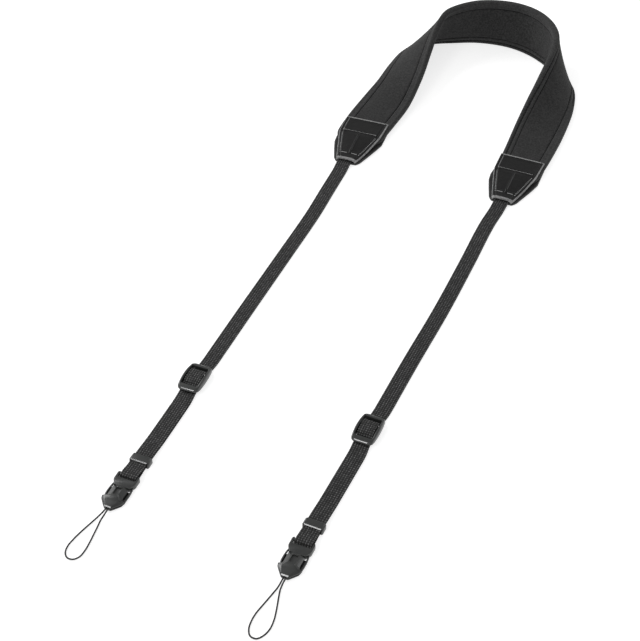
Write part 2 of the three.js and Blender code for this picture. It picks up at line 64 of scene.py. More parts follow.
# ---------------------------------------------------------------- cord loops
# A thin braided thread hangs a camera on each buckle. It leaves the cap's tip, lies in a long
# drop on the table and goes back into the tip, where both ends are moulded in.
CORD_DIAMETER = 0.0009
CORD_SIDES = 12
CORD_STEPS_PER_GAP = 10
CORD_BRAID = 0.0011
CORD_ROUTES = {
    "left": [
        (-0.0558, -0.2580, 0.0021), (-0.0559, -0.2614, 0.0020), (-0.0566, -0.2640, 0.0014),
        (-0.0577, -0.2672, 0.0007), (-0.0588, -0.2710, 0.0005), (-0.0600, -0.2756, 0.0005),
        (-0.0611, -0.2802, 0.0005), (-0.0620, -0.2850, 0.0005), (-0.0624, -0.2898, 0.0005),
        (-0.0614, -0.2939, 0.0005), (-0.0589, -0.2964, 0.0005), (-0.0556, -0.2962, 0.0005),
        (-0.0534, -0.2936, 0.0005), (-0.0528, -0.2888, 0.0005), (-0.0532, -0.2832, 0.0005),
        (-0.0539, -0.2778, 0.0005), (-0.0546, -0.2726, 0.0005), (-0.0551, -0.2686, 0.0007),
        (-0.0549, -0.2646, 0.0014), (-0.0547, -0.2614, 0.0020), (-0.0546, -0.2580, 0.0021),
    ],
    "right": [
        (0.0483, -0.2634, 0.0021), (0.0482, -0.2668, 0.0020), (0.0480, -0.2694, 0.0014),
        (0.0476, -0.2726, 0.0007), (0.0469, -0.2760, 0.0005), (0.0460, -0.2806, 0.0005),
        (0.0450, -0.2856, 0.0005), (0.0441, -0.2904, 0.0005), (0.0439, -0.2954, 0.0005),
        (0.0447, -0.3004, 0.0005), (0.0470, -0.3039, 0.0005), (0.0504, -0.3042, 0.0005),
        (0.0529, -0.3013, 0.0005), (0.0542, -0.2966, 0.0005), (0.0539, -0.2910, 0.0005),
        (0.0526, -0.2852, 0.0005), (0.0512, -0.2802, 0.0005), (0.0500, -0.2760, 0.0005),
        (0.0493, -0.2728, 0.0007), (0.0492, -0.2694, 0.0014), (0.0494, -0.2668, 0.0020),
        (0.0495, -0.2634, 0.0021),
    ],
}


def smooth_through(rows, per_gap):
    """Points on one smooth curve through given rows, per_gap of them from row to row."""
    rows = np.array(rows, float)
    padded = np.vstack([2 * rows[0] - rows[1], rows, 2 * rows[-1] - rows[-2]])
    points = []
    for before, a, b, after in zip(padded, padded[1:], padded[2:], padded[3:]):
        middle = math.sqrt(np.linalg.norm(b - a)) or 1.0
        first = math.sqrt(np.linalg.norm(a - before)) or middle
        last = math.sqrt(np.linalg.norm(after - b)) or middle
        leave = (a - before) / first - (b - before) / (first + middle) + (b - a) / middle
        arrive = (b - a) / middle - (after - a) / (middle + last) + (after - b) / last
        for i in range(per_gap):
            t = i / per_gap
            points.append(
                (2 * t**3 - 3 * t**2 + 1) * a
                + (t**3 - 2 * t**2 + t) * middle * leave
                + (3 * t**2 - 2 * t**3) * b
                + (t**3 - t**2) * middle * arrive
            )
    points.append(rows[-1])
    return np.array(points)


def unit(vectors):
    return vectors / np.linalg.norm(vectors, axis=-1, keepdims=True)


def new_object(name, mesh):
    made = bpy.data.objects.new(name, mesh)
    bpy.context.collection.objects.link(made)
    return made


def skin(name, rings, finishes=(), round_trip=False):
    """A mesh over rings of points, with a UV map in metres: u round a ring, v from ring to ring."""
    rings = np.asarray(rings, float)
    count, sides = rings.shape[:2]
    faces = []
    uvs = []
    round_steps = np.linalg.norm(np.roll(rings, -1, axis=1) - rings, axis=2).mean(axis=0)
    u = np.concatenate([[0], np.cumsum(round_steps)])
    centres = rings.mean(axis=1)
    v = np.concatenate([[0], np.cumsum(np.linalg.norm(np.diff(centres, axis=0), axis=1))])
    last = count if round_trip else count - 1
    for i in range(last):
        j = (i + 1) % count
        for k in range(sides):
            m = (k + 1) % sides
            faces.append((i * sides + k, i * sides + m, j * sides + m, j * sides + k))
            v_next = v[j] if j else v[i] + np.linalg.norm(centres[0] - centres[i])
            uvs += [(u[k], v[i]), (u[k + 1], v[i]), (u[k + 1], v_next), (u[k], v_next)]
    if not round_trip:
        start = tuple(range(sides - 1, -1, -1))
        end = tuple(range((count - 1) * sides, count * sides))
        faces += [start, end]
        uvs += [(u[k], 0.0) for k in start] + [(u[k], v[-1]) for k in range(sides)]
    mesh = bpy.data.meshes.new(name)
    mesh.from_pydata(rings.reshape(-1, 3).tolist(), [], faces)
    layer = mesh.uv_layers.new(name="UVMap")
    layer.data.foreach_set("uv", np.array(uvs, float).ravel())
    for finish in finishes:
        mesh.materials.append(finish)
    mesh.shade_smooth()
    work = bmesh.new()
    work.from_mesh(mesh)
    bmesh.ops.recalc_face_normals(work, faces=work.faces[:])
    work.to_mesh(mesh)
    work.free()
    return new_object(name, mesh)


def tube(name, line, radius, sides, finishes=()):
    """A round tube along a line of points, carried along without twisting."""
    line = np.asarray(line, float)
    along = unit(np.gradient(line, axis=0))
    up = np.array([0.0, 0.0, 1.0])
    rings = []
    for point, ahead in zip(line, along):
        up = unit(up - ahead * (up @ ahead))
        side = np.cross(ahead, up)
        turns = [2 * math.pi * k / sides for k in range(sides)]
        rings.append([point + radius * (math.cos(a) * side + math.sin(a) * up) for a in turns])
    return skin(name, rings, finishes)


class Shader:
    """A material built as a chain of named nodes that end in one Principled BSDF."""

    def __init__(self, name, **constants):
        self.material = bpy.data.materials.new(name)
        self.material.use_nodes = True
        self.tree = self.material.node_tree
        self.surface = self.tree.nodes["Principled BSDF"]
        for socket, value in constants.items():
            self.surface.inputs[socket.replace("_", " ")].default_value = value

    def node(self, kind, inputs=(), **settings):
        made = self.tree.nodes.new(kind)
        for key, value in settings.items():
            setattr(made, key, value)
        for socket, value in dict(inputs).items():
            if isinstance(value, bpy.types.NodeSocket):
                self.tree.links.new(value, made.inputs[socket])
            else:
                made.inputs[socket].default_value = value
        return made

    def coordinates(self, output, scale=(1, 1, 1)):
        place = self.node("ShaderNodeTexCoord").outputs[output]
        return self.node("ShaderNodeMapping", {"Vector": place, "Scale": scale}).outputs[0]

    def noise(self, vector, scale, detail=2.0):
        inputs = {"Vector": vector, "Scale": scale, "Detail": detail}
        return self.node("ShaderNodeTexNoise", inputs).outputs["Fac"]

    def maths(self, operation, a, b=0.0):
        return self.node("ShaderNodeMath", {0: a, 1: b}, operation=operation).outputs[0]

    def mixed(self, a, b, share):
        """Share of a, and the rest of b."""
        rest = self.maths("MULTIPLY", b, 1 - share)
        return self.maths("ADD", self.maths("MULTIPLY", a, share), rest)

    def ramp(self, value, stops):
        made = self.node("ShaderNodeValToRGB", {"Fac": value})
        elements = made.color_ramp.elements
        while len(elements) < len(stops):
            elements.new(0.5)
        for element, (position, colour) in zip(elements, stops):
            element.position = position
            element.color = (*colour, 1)
        return made.outputs["Color"]

    def between(self, value, low, high):
        inputs = {"Value": value, "To Min": low, "To Max": high}
        return self.node("ShaderNodeMapRange", inputs).outputs["Result"]

    def relief(self, layers):
        """Bumps from (height, strength, distance) layers, coarse ones first."""
        normal = None
        for height, strength, distance in layers:
            inputs = {"Height": height, "Strength": strength, "Distance": distance}
            if normal is not None:
                inputs["Normal"] = normal
            normal = self.node("ShaderNodeBump", inputs).outputs["Normal"]
        self.feed("Normal", normal)

    def feed(self, socket, value):
        self.tree.links.new(value, self.surface.inputs[socket])


def grey(value, warmth=0.0):
    return (value * (1 + warmth), value, value * (1 - warmth))


def braided_cord():
    cord = Shader("braided_cord", Roughness=0.62)
    strands = cord.coordinates("UV")
    parts = cord.node("ShaderNodeSeparateXYZ", {0: strands}).outputs
    round_it = cord.maths("MULTIPLY", parts["X"], 4 / (math.pi * CORD_DIAMETER))
    along_it = cord.maths("MULTIPLY", parts["Y"], 1 / CORD_BRAID)
    one_way = cord.maths("SINE", cord.maths("MULTIPLY", cord.maths("ADD", round_it, along_it), math.tau))
    other_way = cord.maths("SUBTRACT", round_it, along_it)
    other_way = cord.maths("SINE", cord.maths("MULTIPLY", other_way, math.tau))
    braid = cord.maths("MAXIMUM", one_way, other_way)
    cord.relief([(braid, 0.8, 0.00006)])
    cord.feed("Base Color", cord.ramp(cord.between(braid, 0, 1), [(0, grey(0.003)), (1, grey(0.014))]))
    return cord.material


cord_finish = braided_cord()
for side, route in CORD_ROUTES.items():
    line = smooth_through(route, CORD_STEPS_PER_GAP)
    loop = tube(f"{side}_cord", line, CORD_DIAMETER / 2, CORD_SIDES, [cord_finish])
    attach(loop, "root")
    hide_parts(f"{side}_cord_loop")

# ---------------------------------------------------------------- neck pad
# A long band of soft foam inside a fine stretch knit. It stands on its long edge in an arch
# behind the neck and twists down into two flat legs; its rim is pinched to take the binding.
# A row is one section: x, y = middle of the width in plan, lean = angle of the width above the
# table, then width, crown thickness and height of the lowest edge. Lengths in mm.
PAD_ROWS = [
    # x, y, lean, width, thick, lift
    (-57.0, 90, 0, 15, 1.8, 1.4),
    (-57.2, 97, 0, 25, 2.7, 1.4),
    (-57.6, 106, 0, 33, 3.4, 1.4),
    (-56.8, 128, 1, 35, 4.2, 1.0),
    (-55.2, 152, 6, 36, 5.0, 0),
    (-54.4, 176, 19, 36, 5.0, 0),
    (-55.4, 201, 32, 36.5, 5.0, 0),
    (-55.2, 220, 43, 37, 5.0, 0),
    (-49.6, 239, 60, 38, 5.0, 0),
    (-38.2, 250, 74, 38, 5.0, 0),
    (-20.0, 261, 84, 38, 5.0, 0),
    (2.0, 265, 90, 38, 5.0, 0),
    (20.0, 261, 92, 38, 5.0, 0),
    (36.0, 250, 88, 38, 5.0, 0),
    (47.5, 236, 79, 37.5, 5.0, 0),
    (55.0, 219, 59, 36.5, 5.0, 0),
    (57.3, 196, 38, 35, 5.0, 0),
    (57.4, 176, 22, 34.6, 5.0, 0),
    (57.2, 155, 8, 34.4, 5.0, 0),
    (57.4, 129, 1, 33, 4.2, 1.0),
    (57.0, 106, 0, 31, 3.4, 1.4),
    (56.8, 97, 0, 24, 2.7, 1.4),
    (56.7, 90, 0, 15, 1.8, 1.4),
]
PAD_STEPS_PER_ROW = 12
PAD_CROWN = 5.0
PAD_NARROW = 30.0
HEM_EDGE = 5.9
PAD_BORDER = 1.5
PAD_PINCH = 0.95
PAD_BORDER_INNER = 2.2
PAD_SHOULDER = 0.95
PAD_FACE_EDGE = 2.15
HEM_STEP = 0.02
GROOVE_REACH = 1.3
PAD_FACE_POINTS = 40

pad_path = smooth_through([row[:3] for row in PAD_ROWS], PAD_STEPS_PER_ROW)
pad_size = smooth_through([row[3:] for row in PAD_ROWS], PAD_STEPS_PER_ROW)
pad_along = np.gradient(pad_path, axis=0)
pad_lean = np.radians(pad_path[:, 2:3])
pad_width, pad_thick, pad_lift = pad_size[:, 0:1], pad_size[:, 1:2], pad_size[:, 2:3]
inward = np.column_stack([pad_along[:, 1], -pad_along[:, 0], np.zeros(len(pad_along))])
inward = unit(inward)
upward = np.array([[0.0, 0.0, 1.0]])
pad_across = np.cos(pad_lean) * inward + np.sin(pad_lean) * upward
pad_out = -np.sin(pad_lean) * inward + np.cos(pad_lean) * upward
pad_radius = pad_thick / 2
pad_height = pad_lift + pad_radius + (pad_width / 2 - pad_radius) * np.sin(pad_lean)
pad_centre = np.column_stack([pad_path[:, :2], pad_height[:, 0]])


def on_pad(i, from_outer_edge, above_middle):
    """A point of section i, in metres: mm in from the outer edge, mm above the middle layer."""
    height = above_middle * pad_thick[i] / PAD_CROWN
    across = from_outer_edge - pad_width[i] / 2
    return MM * (pad_centre[i] + across * pad_across[i] + height * pad_out[i])


def pad_half_thickness(inset, width):
    """Half thickness of the pad, inset mm from its nearer edge, at full crown."""
    squeeze = min(1.0, width / PAD_NARROW)
    rim = HEM_EDGE * squeeze
    if inset < rim:
        return PAD_PINCH
    reach = (inset - rim) / (width / 2 - rim)
    face = PAD_FACE_EDGE + (PAD_CROWN / 2 - PAD_FACE_EDGE) * (1 - (1 - reach) ** 2)
    climb = min(1.0, (inset - rim) / (GROOVE_REACH * squeeze))
    return PAD_SHOULDER + (face - PAD_SHOULDER) * math.sqrt(1 - (1 - climb) ** 2)


def pad_section(i):
    width = float(pad_width[i, 0])
    squeeze = min(1.0, width / PAD_NARROW)
    rim = HEM_EDGE * squeeze
    rise = [GROOVE_REACH * squeeze * k**2 / 36 for k in range(1, 7)]
    flat_width = width - 2 * (rim + rise[-1])
    flat = [rim + rise[-1] + flat_width * k / PAD_FACE_POINTS for k in range(1, PAD_FACE_POINTS)]
    climb = [rim + step for step in rise]
    face = [rim, *climb, *flat, *(width - d for d in reversed(climb)), width - rim]
    border = [PAD_BORDER * squeeze, PAD_BORDER_INNER * squeeze, rim - HEM_STEP]
    insets = [*border, *face, *(width - d for d in reversed(border))]
    under = [(d, -pad_half_thickness(min(d, width - d), width)) for d in insets]
    over = [(d, -h) for d, h in reversed(under)]
    return [on_pad(i, d, h) for d, h in under + over]


def stretch_knit(name, dark, light, crease):
    """Fine knit: tiny loops in columns, a soft mottle, a short nap that catches the light."""
    sheen = {"Sheen_Weight": 0.05, "Sheen_Roughness": 0.5}
    knit = Shader(name, Roughness=0.86, Specular_IOR_Level=0.15, **sheen)
    cloth = knit.coordinates("UV")
    solid = knit.coordinates("Object")
    loops = knit.node("ShaderNodeTexVoronoi", {"Vector": cloth, "Scale": 1700.0}).outputs["Distance"]
    mottle = knit.noise(solid, 900.0, 3.0)
    patches = knit.noise(solid, 90.0, 3.0)
    shade = knit.mixed(mottle, patches, 0.88)
    knit.feed("Base Color", knit.ramp(shade, [(0.38, dark), (0.62, light)]))
    knit.relief([(patches, 0.12, crease), (mottle, 0.5, 0.00014), (loops, 0.5, 0.00008)])
    return knit.material


pad_finish = stretch_knit("foam_pad_knit", grey(0.013), grey(0.030), 0.0006)
# Painted shade: a much darker copy of the knit, for the shade in the groove beside each binding.
pad_groove_painted_shade = stretch_knit("foam_pad_painted_groove_shade", grey(0.002), grey(0.004), 0.0003)
sections = [pad_section(i) for i in range(len(pad_path))]
pad = skin("pad", sections, [pad_finish, pad_groove_painted_shade])
points_round_pad = len(sections[0])
points_per_side = points_round_pad // 2
# The end caps and the faces next to the tape take the darker knit, as painted shade in the groove.
for polygon in pad.data.polygons:
    step = polygon.vertices[0] % points_round_pad % points_per_side
    beside_tape = min(step, points_per_side - 2 - step)
    polygon.material_index = 1 if len(polygon.vertices) > 4 or beside_tape <= 5 else 0
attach(pad, "root")
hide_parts("neck_pad")

# ---------------------------------------------------------------- edge bindings
# A folded stretch tape closes each long edge of the pad. It is sewn through both sides, so a
# groove with stitches runs along it, and it ends in a rounded hem on the pad's face.
TAPE_PROFILE = [
    # inset from the edge, half thickness, in mm
    (0.00, 0.00),
    (0.03, 0.60),
    (0.18, 1.25),
    (0.50, 1.85),
    (0.95, 2.25),
    (1.45, 2.42),
    (1.95, 2.38),
    (2.25, 2.18),
    (2.45, 1.86),
    (2.65, 1.62),
    (2.90, 1.55),
    (3.15, 1.64),
    (3.35, 1.90),
    (3.60, 2.12),
    (4.10, 2.28),
    (4.80, 2.32),
    (5.30, 2.24),
    (5.65, 2.02),
    (5.82, 1.70),
    (5.85, 1.40),
    (5.75, 1.30),
    (1.70, 1.30),
    (1.00, 0.60),
    (0.90, 0.00),
]
STITCH_INSET = 2.9
STITCH_REST = 1.6
GROOVE_FLOOR = (2.1, 3.5)
GROOVE_FILLED = 2.34
DEEP_GROOVES = {
    # how deep the seam pulls in along each edge: (share of the pad's length, depth)
    "outer_binding": [(0, 0.15), (0.30, 0.15), (0.38, 1), (0.66, 1), (0.74, 0.25), (1, 0.25)],
    "inner_binding": [(0, 0.15), (0.60, 0.1), (0.70, 0.9), (0.78, 1), (1, 1)],
}


def groove_depth(i, binding):
    rows = DEEP_GROOVES[binding]
    return float(np.interp(i / (len(pad_path) - 1), [row[0] for row in rows], [row[1] for row in rows]))


def tape_section(i, far_side, depth):
    width = float(pad_width[i, 0])
    squeeze = min(1.0, width / PAD_NARROW)
    half = []
    for inset, h in TAPE_PROFILE:
        if GROOVE_FLOOR[0] < inset < GROOVE_FLOOR[1]:
            h = GROOVE_FILLED + (h - GROOVE_FILLED) * depth
        half.append((inset * squeeze, h))
    around = half + [(inset, -h) for inset, h in reversed(half[1:-1])]
    return [on_pad(i, width - d if far_side else d, h) for d, h in around]


binding_finish = stretch_knit("binding_tape", grey(0.020), grey(0.038), 0.0003)
# Painted shade: a much darker copy of the tape's knit, for the shade in the stitched groove.
tape_groove_painted_shade = stretch_knit("binding_tape_painted_groove_shade", grey(0.003), grey(0.006), 0.0003)
for name, node, far_side in [
    ("outer_binding", "outer_edge_binding", False),
    ("inner_binding", "inner_edge_binding", True),
]:
    depths = [groove_depth(i, name) for i in range(len(pad_path))]
    sections = [tape_section(i, far_side, depth) for i, depth in enumerate(depths)]
    binding = skin(name, sections, [binding_finish, tape_groove_painted_shade])
    points_round_tape = len(sections[0])
    # Where the groove is pulled in deep, its faces take the darker knit, as painted shade.
    for polygon in binding.data.polygons:
        row, step = divmod(min(polygon.vertices), points_round_tape)
        from_edge = min(step, points_round_tape - 1 - step)
        in_groove = len(polygon.vertices) == 4 and 8 <= from_edge <= 11
        polygon.material_index = 1 if in_groove and depths[row] > 0.5 else 0
    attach(binding, "root")
    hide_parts(node)

# ---------------------------------------------------------------- binding stitches
# Lockstitch in black polyester thread along the groove of each binding, on both faces of the
# pad. Each stitch is a short bead of thread that dips into the tape at its two ends.


def stitch_tree():
    """Geometry nodes: beads of thread in a row along lines that carry an 'out' direction."""
    tree = bpy.data.node_groups.new("row_of_stitches", "GeometryNodeTree")
    sockets = tree.interface
    sockets.new_socket("Lines", in_out="INPUT", socket_type="NodeSocketGeometry")
    for label in ("Pitch", "Length", "Width", "Height"):
        sockets.new_socket(label, in_out="INPUT", socket_type="NodeSocketFloat")
    sockets.new_socket("Thread", in_out="INPUT", socket_type="NodeSocketMaterial")
    sockets.new_socket("Stitches", in_out="OUTPUT", socket_type="NodeSocketGeometry")

    def add(kind, **settings):
        made = tree.nodes.new(kind)
        for key, value in settings.items():
            setattr(made, key, value)
        return made

    given = add("NodeGroupInput").outputs
    to_curve = add("GeometryNodeMeshToCurve")
    spaced = add("GeometryNodeResampleCurve", mode="LENGTH")
    bead = add("GeometryNodeMeshUVSphere")
    bead.inputs["Segments"].default_value = 6
    bead.inputs["Rings"].default_value = 4
    bead.inputs["Radius"].default_value = 0.5
    size = add("ShaderNodeCombineXYZ")
    shaped = add("GeometryNodeTransform")
    facing = add("FunctionNodeAlignRotationToVector", axis="X")
    upright = add("FunctionNodeAlignRotationToVector", axis="Z", pivot_axis="X")
    outward = add("GeometryNodeInputNamedAttribute", data_type="FLOAT_VECTOR")
    outward.inputs["Name"].default_value = "out"
    placed = add("GeometryNodeInstanceOnPoints")
    realized = add("GeometryNodeRealizeInstances")
    smooth = add("GeometryNodeSetShadeSmooth")
    painted = add("GeometryNodeSetMaterial")
    result = add("NodeGroupOutput")
    tangent = add("GeometryNodeInputTangent").outputs[0]
    for source, node, socket in [
        (given["Lines"], to_curve, 0),
        (to_curve.outputs[0], spaced, "Curve"),
        (given["Pitch"], spaced, "Length"),
        (given["Length"], size, "X"),
        (given["Width"], size, "Y"),
        (given["Height"], size, "Z"),
        (bead.outputs["Mesh"], shaped, "Geometry"),
        (size.outputs[0], shaped, "Scale"),
        (tangent, facing, "Vector"),
        (facing.outputs[0], upright, "Rotation"),
        (outward.outputs["Attribute"], upright, "Vector"),
        (spaced.outputs[0], placed, "Points"),
        (shaped.outputs[0], placed, "Instance"),
        (upright.outputs[0], placed, "Rotation"),
        (placed.outputs[0], realized, 0),
        (realized.outputs[0], smooth, 0),
        (smooth.outputs[0], painted, "Geometry"),
        (given["Thread"], painted, "Material"),
        (painted.outputs[0], result, "Stitches"),
    ]:
        tree.links.new(source, node.inputs[socket])
    return tree


stitches_in_a_row = stitch_tree()


def baked(made):
    """The object's mesh with its modifiers carried out, and the modifiers gone."""
    made.data.update()
    evaluated = made.evaluated_get(bpy.context.evaluated_depsgraph_get())
    mesh = bpy.data.meshes.new_from_object(evaluated)
    made.modifiers.clear()
    made.data = mesh
    return made


def sew(name, lines, thread, pitch, bead):
    """Rows of stitches along lines, each line a pair of arrays: points and outward directions.

    The pitch and the bead's length, width and height are in mm.
    """
    points = np.vstack([line for line, _ in lines])
    outwards = np.vstack([out for _, out in lines])
    edges = []
    start = 0
    for line, _ in lines:
        edges += [(start + k, start + k + 1) for k in range(len(line) - 1)]
        start += len(line)
    mesh = bpy.data.meshes.new(name)
    mesh.from_pydata(points.tolist(), edges, [])
    out = mesh.attributes.new("out", "FLOAT_VECTOR", "POINT")
    out.data.foreach_set("vector", outwards.ravel())
    made = new_object(name, mesh)
    modifier = made.modifiers.new("stitches", "NODES")
    modifier.node_group = stitches_in_a_row
    sizes = zip(("Pitch", "Length", "Width", "Height"), (pitch, *bead))
    values = {"Thread": thread, **{label: size * MM for label, size in sizes}}
    for item in stitches_in_a_row.interface.items_tree:
        if item.in_out == "INPUT" and item.name in values:
            modifier[item.identifier] = values[item.name]
    return baked(made)


def sewing_thread(name, colour, shine):
    thread = Shader(name, Roughness=shine)
    solid = thread.coordinates("Object")
    fibres = thread.noise(solid, 2600.0, 2.0)
    thread.feed("Base Color", thread.ramp(fibres, [(0.3, grey(colour * 0.7)), (0.7, grey(colour))]))
    thread.relief([(fibres, 0.4, 0.00005)])
    return thread.material


pad_thread = sewing_thread("pad_thread", 0.014, 0.6)
groove_lines = []
for from_far_side in (False, True):
    for face in (1, -1):
        points = []
        for i in range(PAD_STEPS_PER_ROW // 2, len(pad_path) - PAD_STEPS_PER_ROW // 2):
            width = float(pad_width[i, 0])
            inset = STITCH_INSET * min(1.0, width / PAD_NARROW)
            inset = width - inset if from_far_side else inset
            points.append(on_pad(i, inset, face * STITCH_REST))
        keep = slice(PAD_STEPS_PER_ROW // 2, len(pad_path) - PAD_STEPS_PER_ROW // 2)
        groove_lines.append((np.array(points), face * pad_out[keep]))
pad_stitches = sew("binding_stitches", groove_lines, pad_thread, 2.6, (2.3, 0.42, 0.34))
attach(pad_stitches, "root")

# ---------------------------------------------------------------- webbing straps
# Flat 10 mm nylon webbing, woven in narrow ribs. One length per leg comes out of the tab, goes
# over the slider's middle bar and through the keeper, turns round the buckle's bar and runs
# back beneath itself to end round the slider's middle bar. Lengths in mm.
WEB_WIDTH = 10.0
WEB_THICK = 1.0
WEB_CORE = 0.62
LAYER_GAP = 0.25
BUCKLE_BAR_HEIGHT = 2.1
BUCKLE_TURN = 1.35
SLIDER_TURN = 1.2
SLIDER_TURN_AT = 3.4
SLIDER_TAIL_END = -2.6
SLIDER_PASS = [
    # y from the slider's middle, height of the webbing's middle line
    (9.8, 0.5),
    (8.7, 0.52),
    (7.8, 0.6),
    (7.05, 1.0),
    (6.5, 1.9),
    (6.2, 3.1),
    (5.5, 4.1),
    (4.3, 4.7),
    (2, 4.85),
    (-1.5, 4.8),
    (-3.8, 4.4),
    (-5.3, 3.6),
    (-6.4, 2.4),
    (-7.6, 1.75),
    (-9.2, 1.6),
]
KEEPER_LAYER = 1.3
TAB_MOUTH_HEIGHT = 1.95
LEGS = {
    "left": {
        "mouth": (-55.8, 75.0),
        "tab_turn": 2.3,
        "jog": -0.9,
        "slider": -156.5,
        "keeper": -224.1,
        "bar": -237.2,
        "route": [
            (-57.1, 90), (-56.6, 75), (-55.5, 43), (-54.3, 12), (-54.5, -35),
            (-54.9, -100), (-54.9, -156), (-54.9, -200), (-55.1, -235), (-55.3, -266),
        ],
    },
    "right": {
        "mouth": (56.2, 73.0),
        "tab_turn": -0.6,
        "jog": -1.0,
        "slider": -156.0,
        "keeper": -229.9,
        "bar": -242.6,
        "route": [
            (56.5, 90), (56.2, 73), (54.5, 46), (54.8, 5), (54.6, -45),
            (53.0, -95), (51.7, -156), (50.2, -205), (49.1, -240), (48.8, -272),
        ],
    },
}
# The slider pulls its leg aside by jog and squeezes the webbing a little, out to this distance.
JOG_REACH = 14.0
SLIDER_SQUEEZE = 0.05
RIB_COLUMNS = 7
RIB_PITCH = 1.5
RIB_BEAD = (1.18, 1.02, 0.62)
RIB_OVERHANG = 0.2
CORE_INSET = 0.05
WEB_STEP = 0.7


def leg_x(leg, y):
    """x of a leg's middle line at y, on a smooth curve through its route."""
    route = leg["route"]
    i = next((k for k, p in enumerate(route) if p[1] <= y), len(route) - 1)
    i = max(i, 1)

    def slope(a, b):
        return (route[b][0] - route[a][0]) / (route[b][1] - route[a][1])

    start = slope(max(i - 2, 0), i)
    end = slope(i - 1, min(i + 1, len(route) - 1))
    span = route[i][1] - route[i - 1][1]
    t = (y - route[i - 1][1]) / span
    aside = leg["jog"] * math.exp(-(((y - leg["slider"]) / JOG_REACH) ** 4))
    return (
        aside
        + (2 * t**3 - 3 * t**2 + 1) * route[i - 1][0]
        + (t**3 - 2 * t**2 + t) * span * start
        + (3 * t**2 - 2 * t**3) * route[i][0]
        + (t**3 - t**2) * span * end
    )


def eased(start, end):
    """Side view of the strap from start to end, each (y, z), level at both ends."""
    steps = max(2, math.ceil(abs(end[0] - start[0]) / WEB_STEP))
    return [
        (start[0] + (end[0] - start[0]) * k / steps,
         start[1] + (end[1] - start[1]) * (1 - math.cos(math.pi * k / steps)) / 2)
        for k in range(1, steps + 1)
    ]


def turned(middle, radius, first, last, steps=14):
    """Side view of the strap round a bar."""
    turns = [math.radians(first + (last - first) * k / steps) for k in range(steps + 1)]
    return [(middle[0] + radius * math.cos(a), middle[1] + radius * math.sin(a)) for a in turns]


def webbing_side_view(leg):
    flat = WEB_THICK / 2
    stacked = flat + WEB_THICK + LAYER_GAP
    keeper_top = KEEPER_LAYER + WEB_THICK + LAYER_GAP
    mouth, slider, keeper, bar = leg["mouth"][1], leg["slider"], leg["keeper"], leg["bar"]
    wrap = flat + SLIDER_TURN
    out = [(mouth + 13.4, TAB_MOUTH_HEIGHT)]
    for stop in [(mouth, TAB_MOUTH_HEIGHT), (mouth - 12, flat), (slider + 11, flat)]:
        out += eased(out[-1], stop)
    for row in smooth_through([(slider + 11, flat)] + [(slider + y, z) for y, z in SLIDER_PASS], 2)[1:]:
        out.append(tuple(row))
    for stop in [
        (keeper + 20, stacked),
        (keeper + 4, keeper_top),
        (keeper - 4, keeper_top),
        (bar + 1.2, BUCKLE_BAR_HEIGHT + BUCKLE_TURN),
    ]:
        out += eased(out[-1], stop)
    out += turned((bar, BUCKLE_BAR_HEIGHT), BUCKLE_TURN, 90, 270)
    for stop in [
        (bar + 1.6, BUCKLE_BAR_HEIGHT - BUCKLE_TURN),
        (keeper - 4, KEEPER_LAYER),
        (keeper + 4, KEEPER_LAYER),
        (keeper + 20, flat),
        (slider - 8, flat),
    ]:
        out += eased(out[-1], stop)
    out += turned((slider + SLIDER_TURN_AT, wrap), SLIDER_TURN, -90, 90)
    out += eased(out[-1], (slider + SLIDER_TAIL_END, wrap + SLIDER_TURN))
    return np.array(out)


def webbing_frame(leg):
    """Middle line of the strap with its across and outward directions at each station."""
    side_view = webbing_side_view(leg)
    along = unit(np.gradient(side_view, axis=0))
    y = side_view[:, 0]
    x = np.array([leg_x(leg, value) for value in y])
    lean = np.array([(leg_x(leg, v + 1) - leg_x(leg, v - 1)) / 2 for v in y])
    across = unit(np.column_stack([np.ones(len(y)), -lean, np.zeros(len(y))]))
    out = unit(np.column_stack([-lean * along[:, 1], along[:, 1], -along[:, 0]]))
    pinch = 1 - SLIDER_SQUEEZE * np.exp(-(((y - leg["slider"]) / JOG_REACH) ** 4))
    return np.column_stack([x, side_view]), across * pinch[:, None], out


def core_with_painted_shade():
    """The ground between the ribs, coloured far darker than the yarn as painted shade in the gaps."""
    core = Shader("webbing_ground_painted_shade", Roughness=0.8)
    weft = core.coordinates("Object")
    threads = core.noise(weft, 1500.0, 2.0)
    core.feed("Base Color", core.ramp(threads, [(0.4, grey(0.002)), (0.6, grey(0.007))]))
    core.relief([(threads, 0.5, 0.0001)])
    return core.material


def nylon_yarn():
    """Bulked nylon yarn: fibres run along the strap, some ribs catch more light than others."""
    yarn = Shader("webbing_yarn", Roughness=0.5, Sheen_Weight=0.03)
    solid = yarn.coordinates("Object", (1, 0.25, 1))
    fibres = yarn.noise(solid, 5200.0, 2.0)
    ribs = yarn.noise(yarn.coordinates("Object"), 620.0, 1.0)
    shade = yarn.mixed(fibres, ribs, 0.4)
    yarn.feed("Base Color", yarn.ramp(shade, [(0.44, grey(0.010)), (0.58, grey(0.085))]))
    yarn.feed("Roughness", yarn.between(ribs, 0.36, 0.6))
    yarn.relief([(fibres, 0.5, 0.00006)])
    return yarn.material


def join(pieces, name):
    with bpy.context.temp_override(
        active_object=pieces[0], object=pieces[0], selected_editable_objects=pieces, selected_objects=pieces
    ):
        bpy.ops.object.join()
    pieces[0].name = name
    return pieces[0]


CORE_PROFILE = [
    # across, out, in half widths and half thicknesses
    (-0.90, -1), (-0.45, -1), (0, -1), (0.45, -1), (0.90, -1), (0.975, -0.7), (1, 0),
    (0.975, 0.7), (0.90, 1), (0.45, 1), (0, 1), (-0.45, 1), (-0.90, 1), (-0.975, 0.7),
    (-1, 0), (-0.975, -0.7),
]

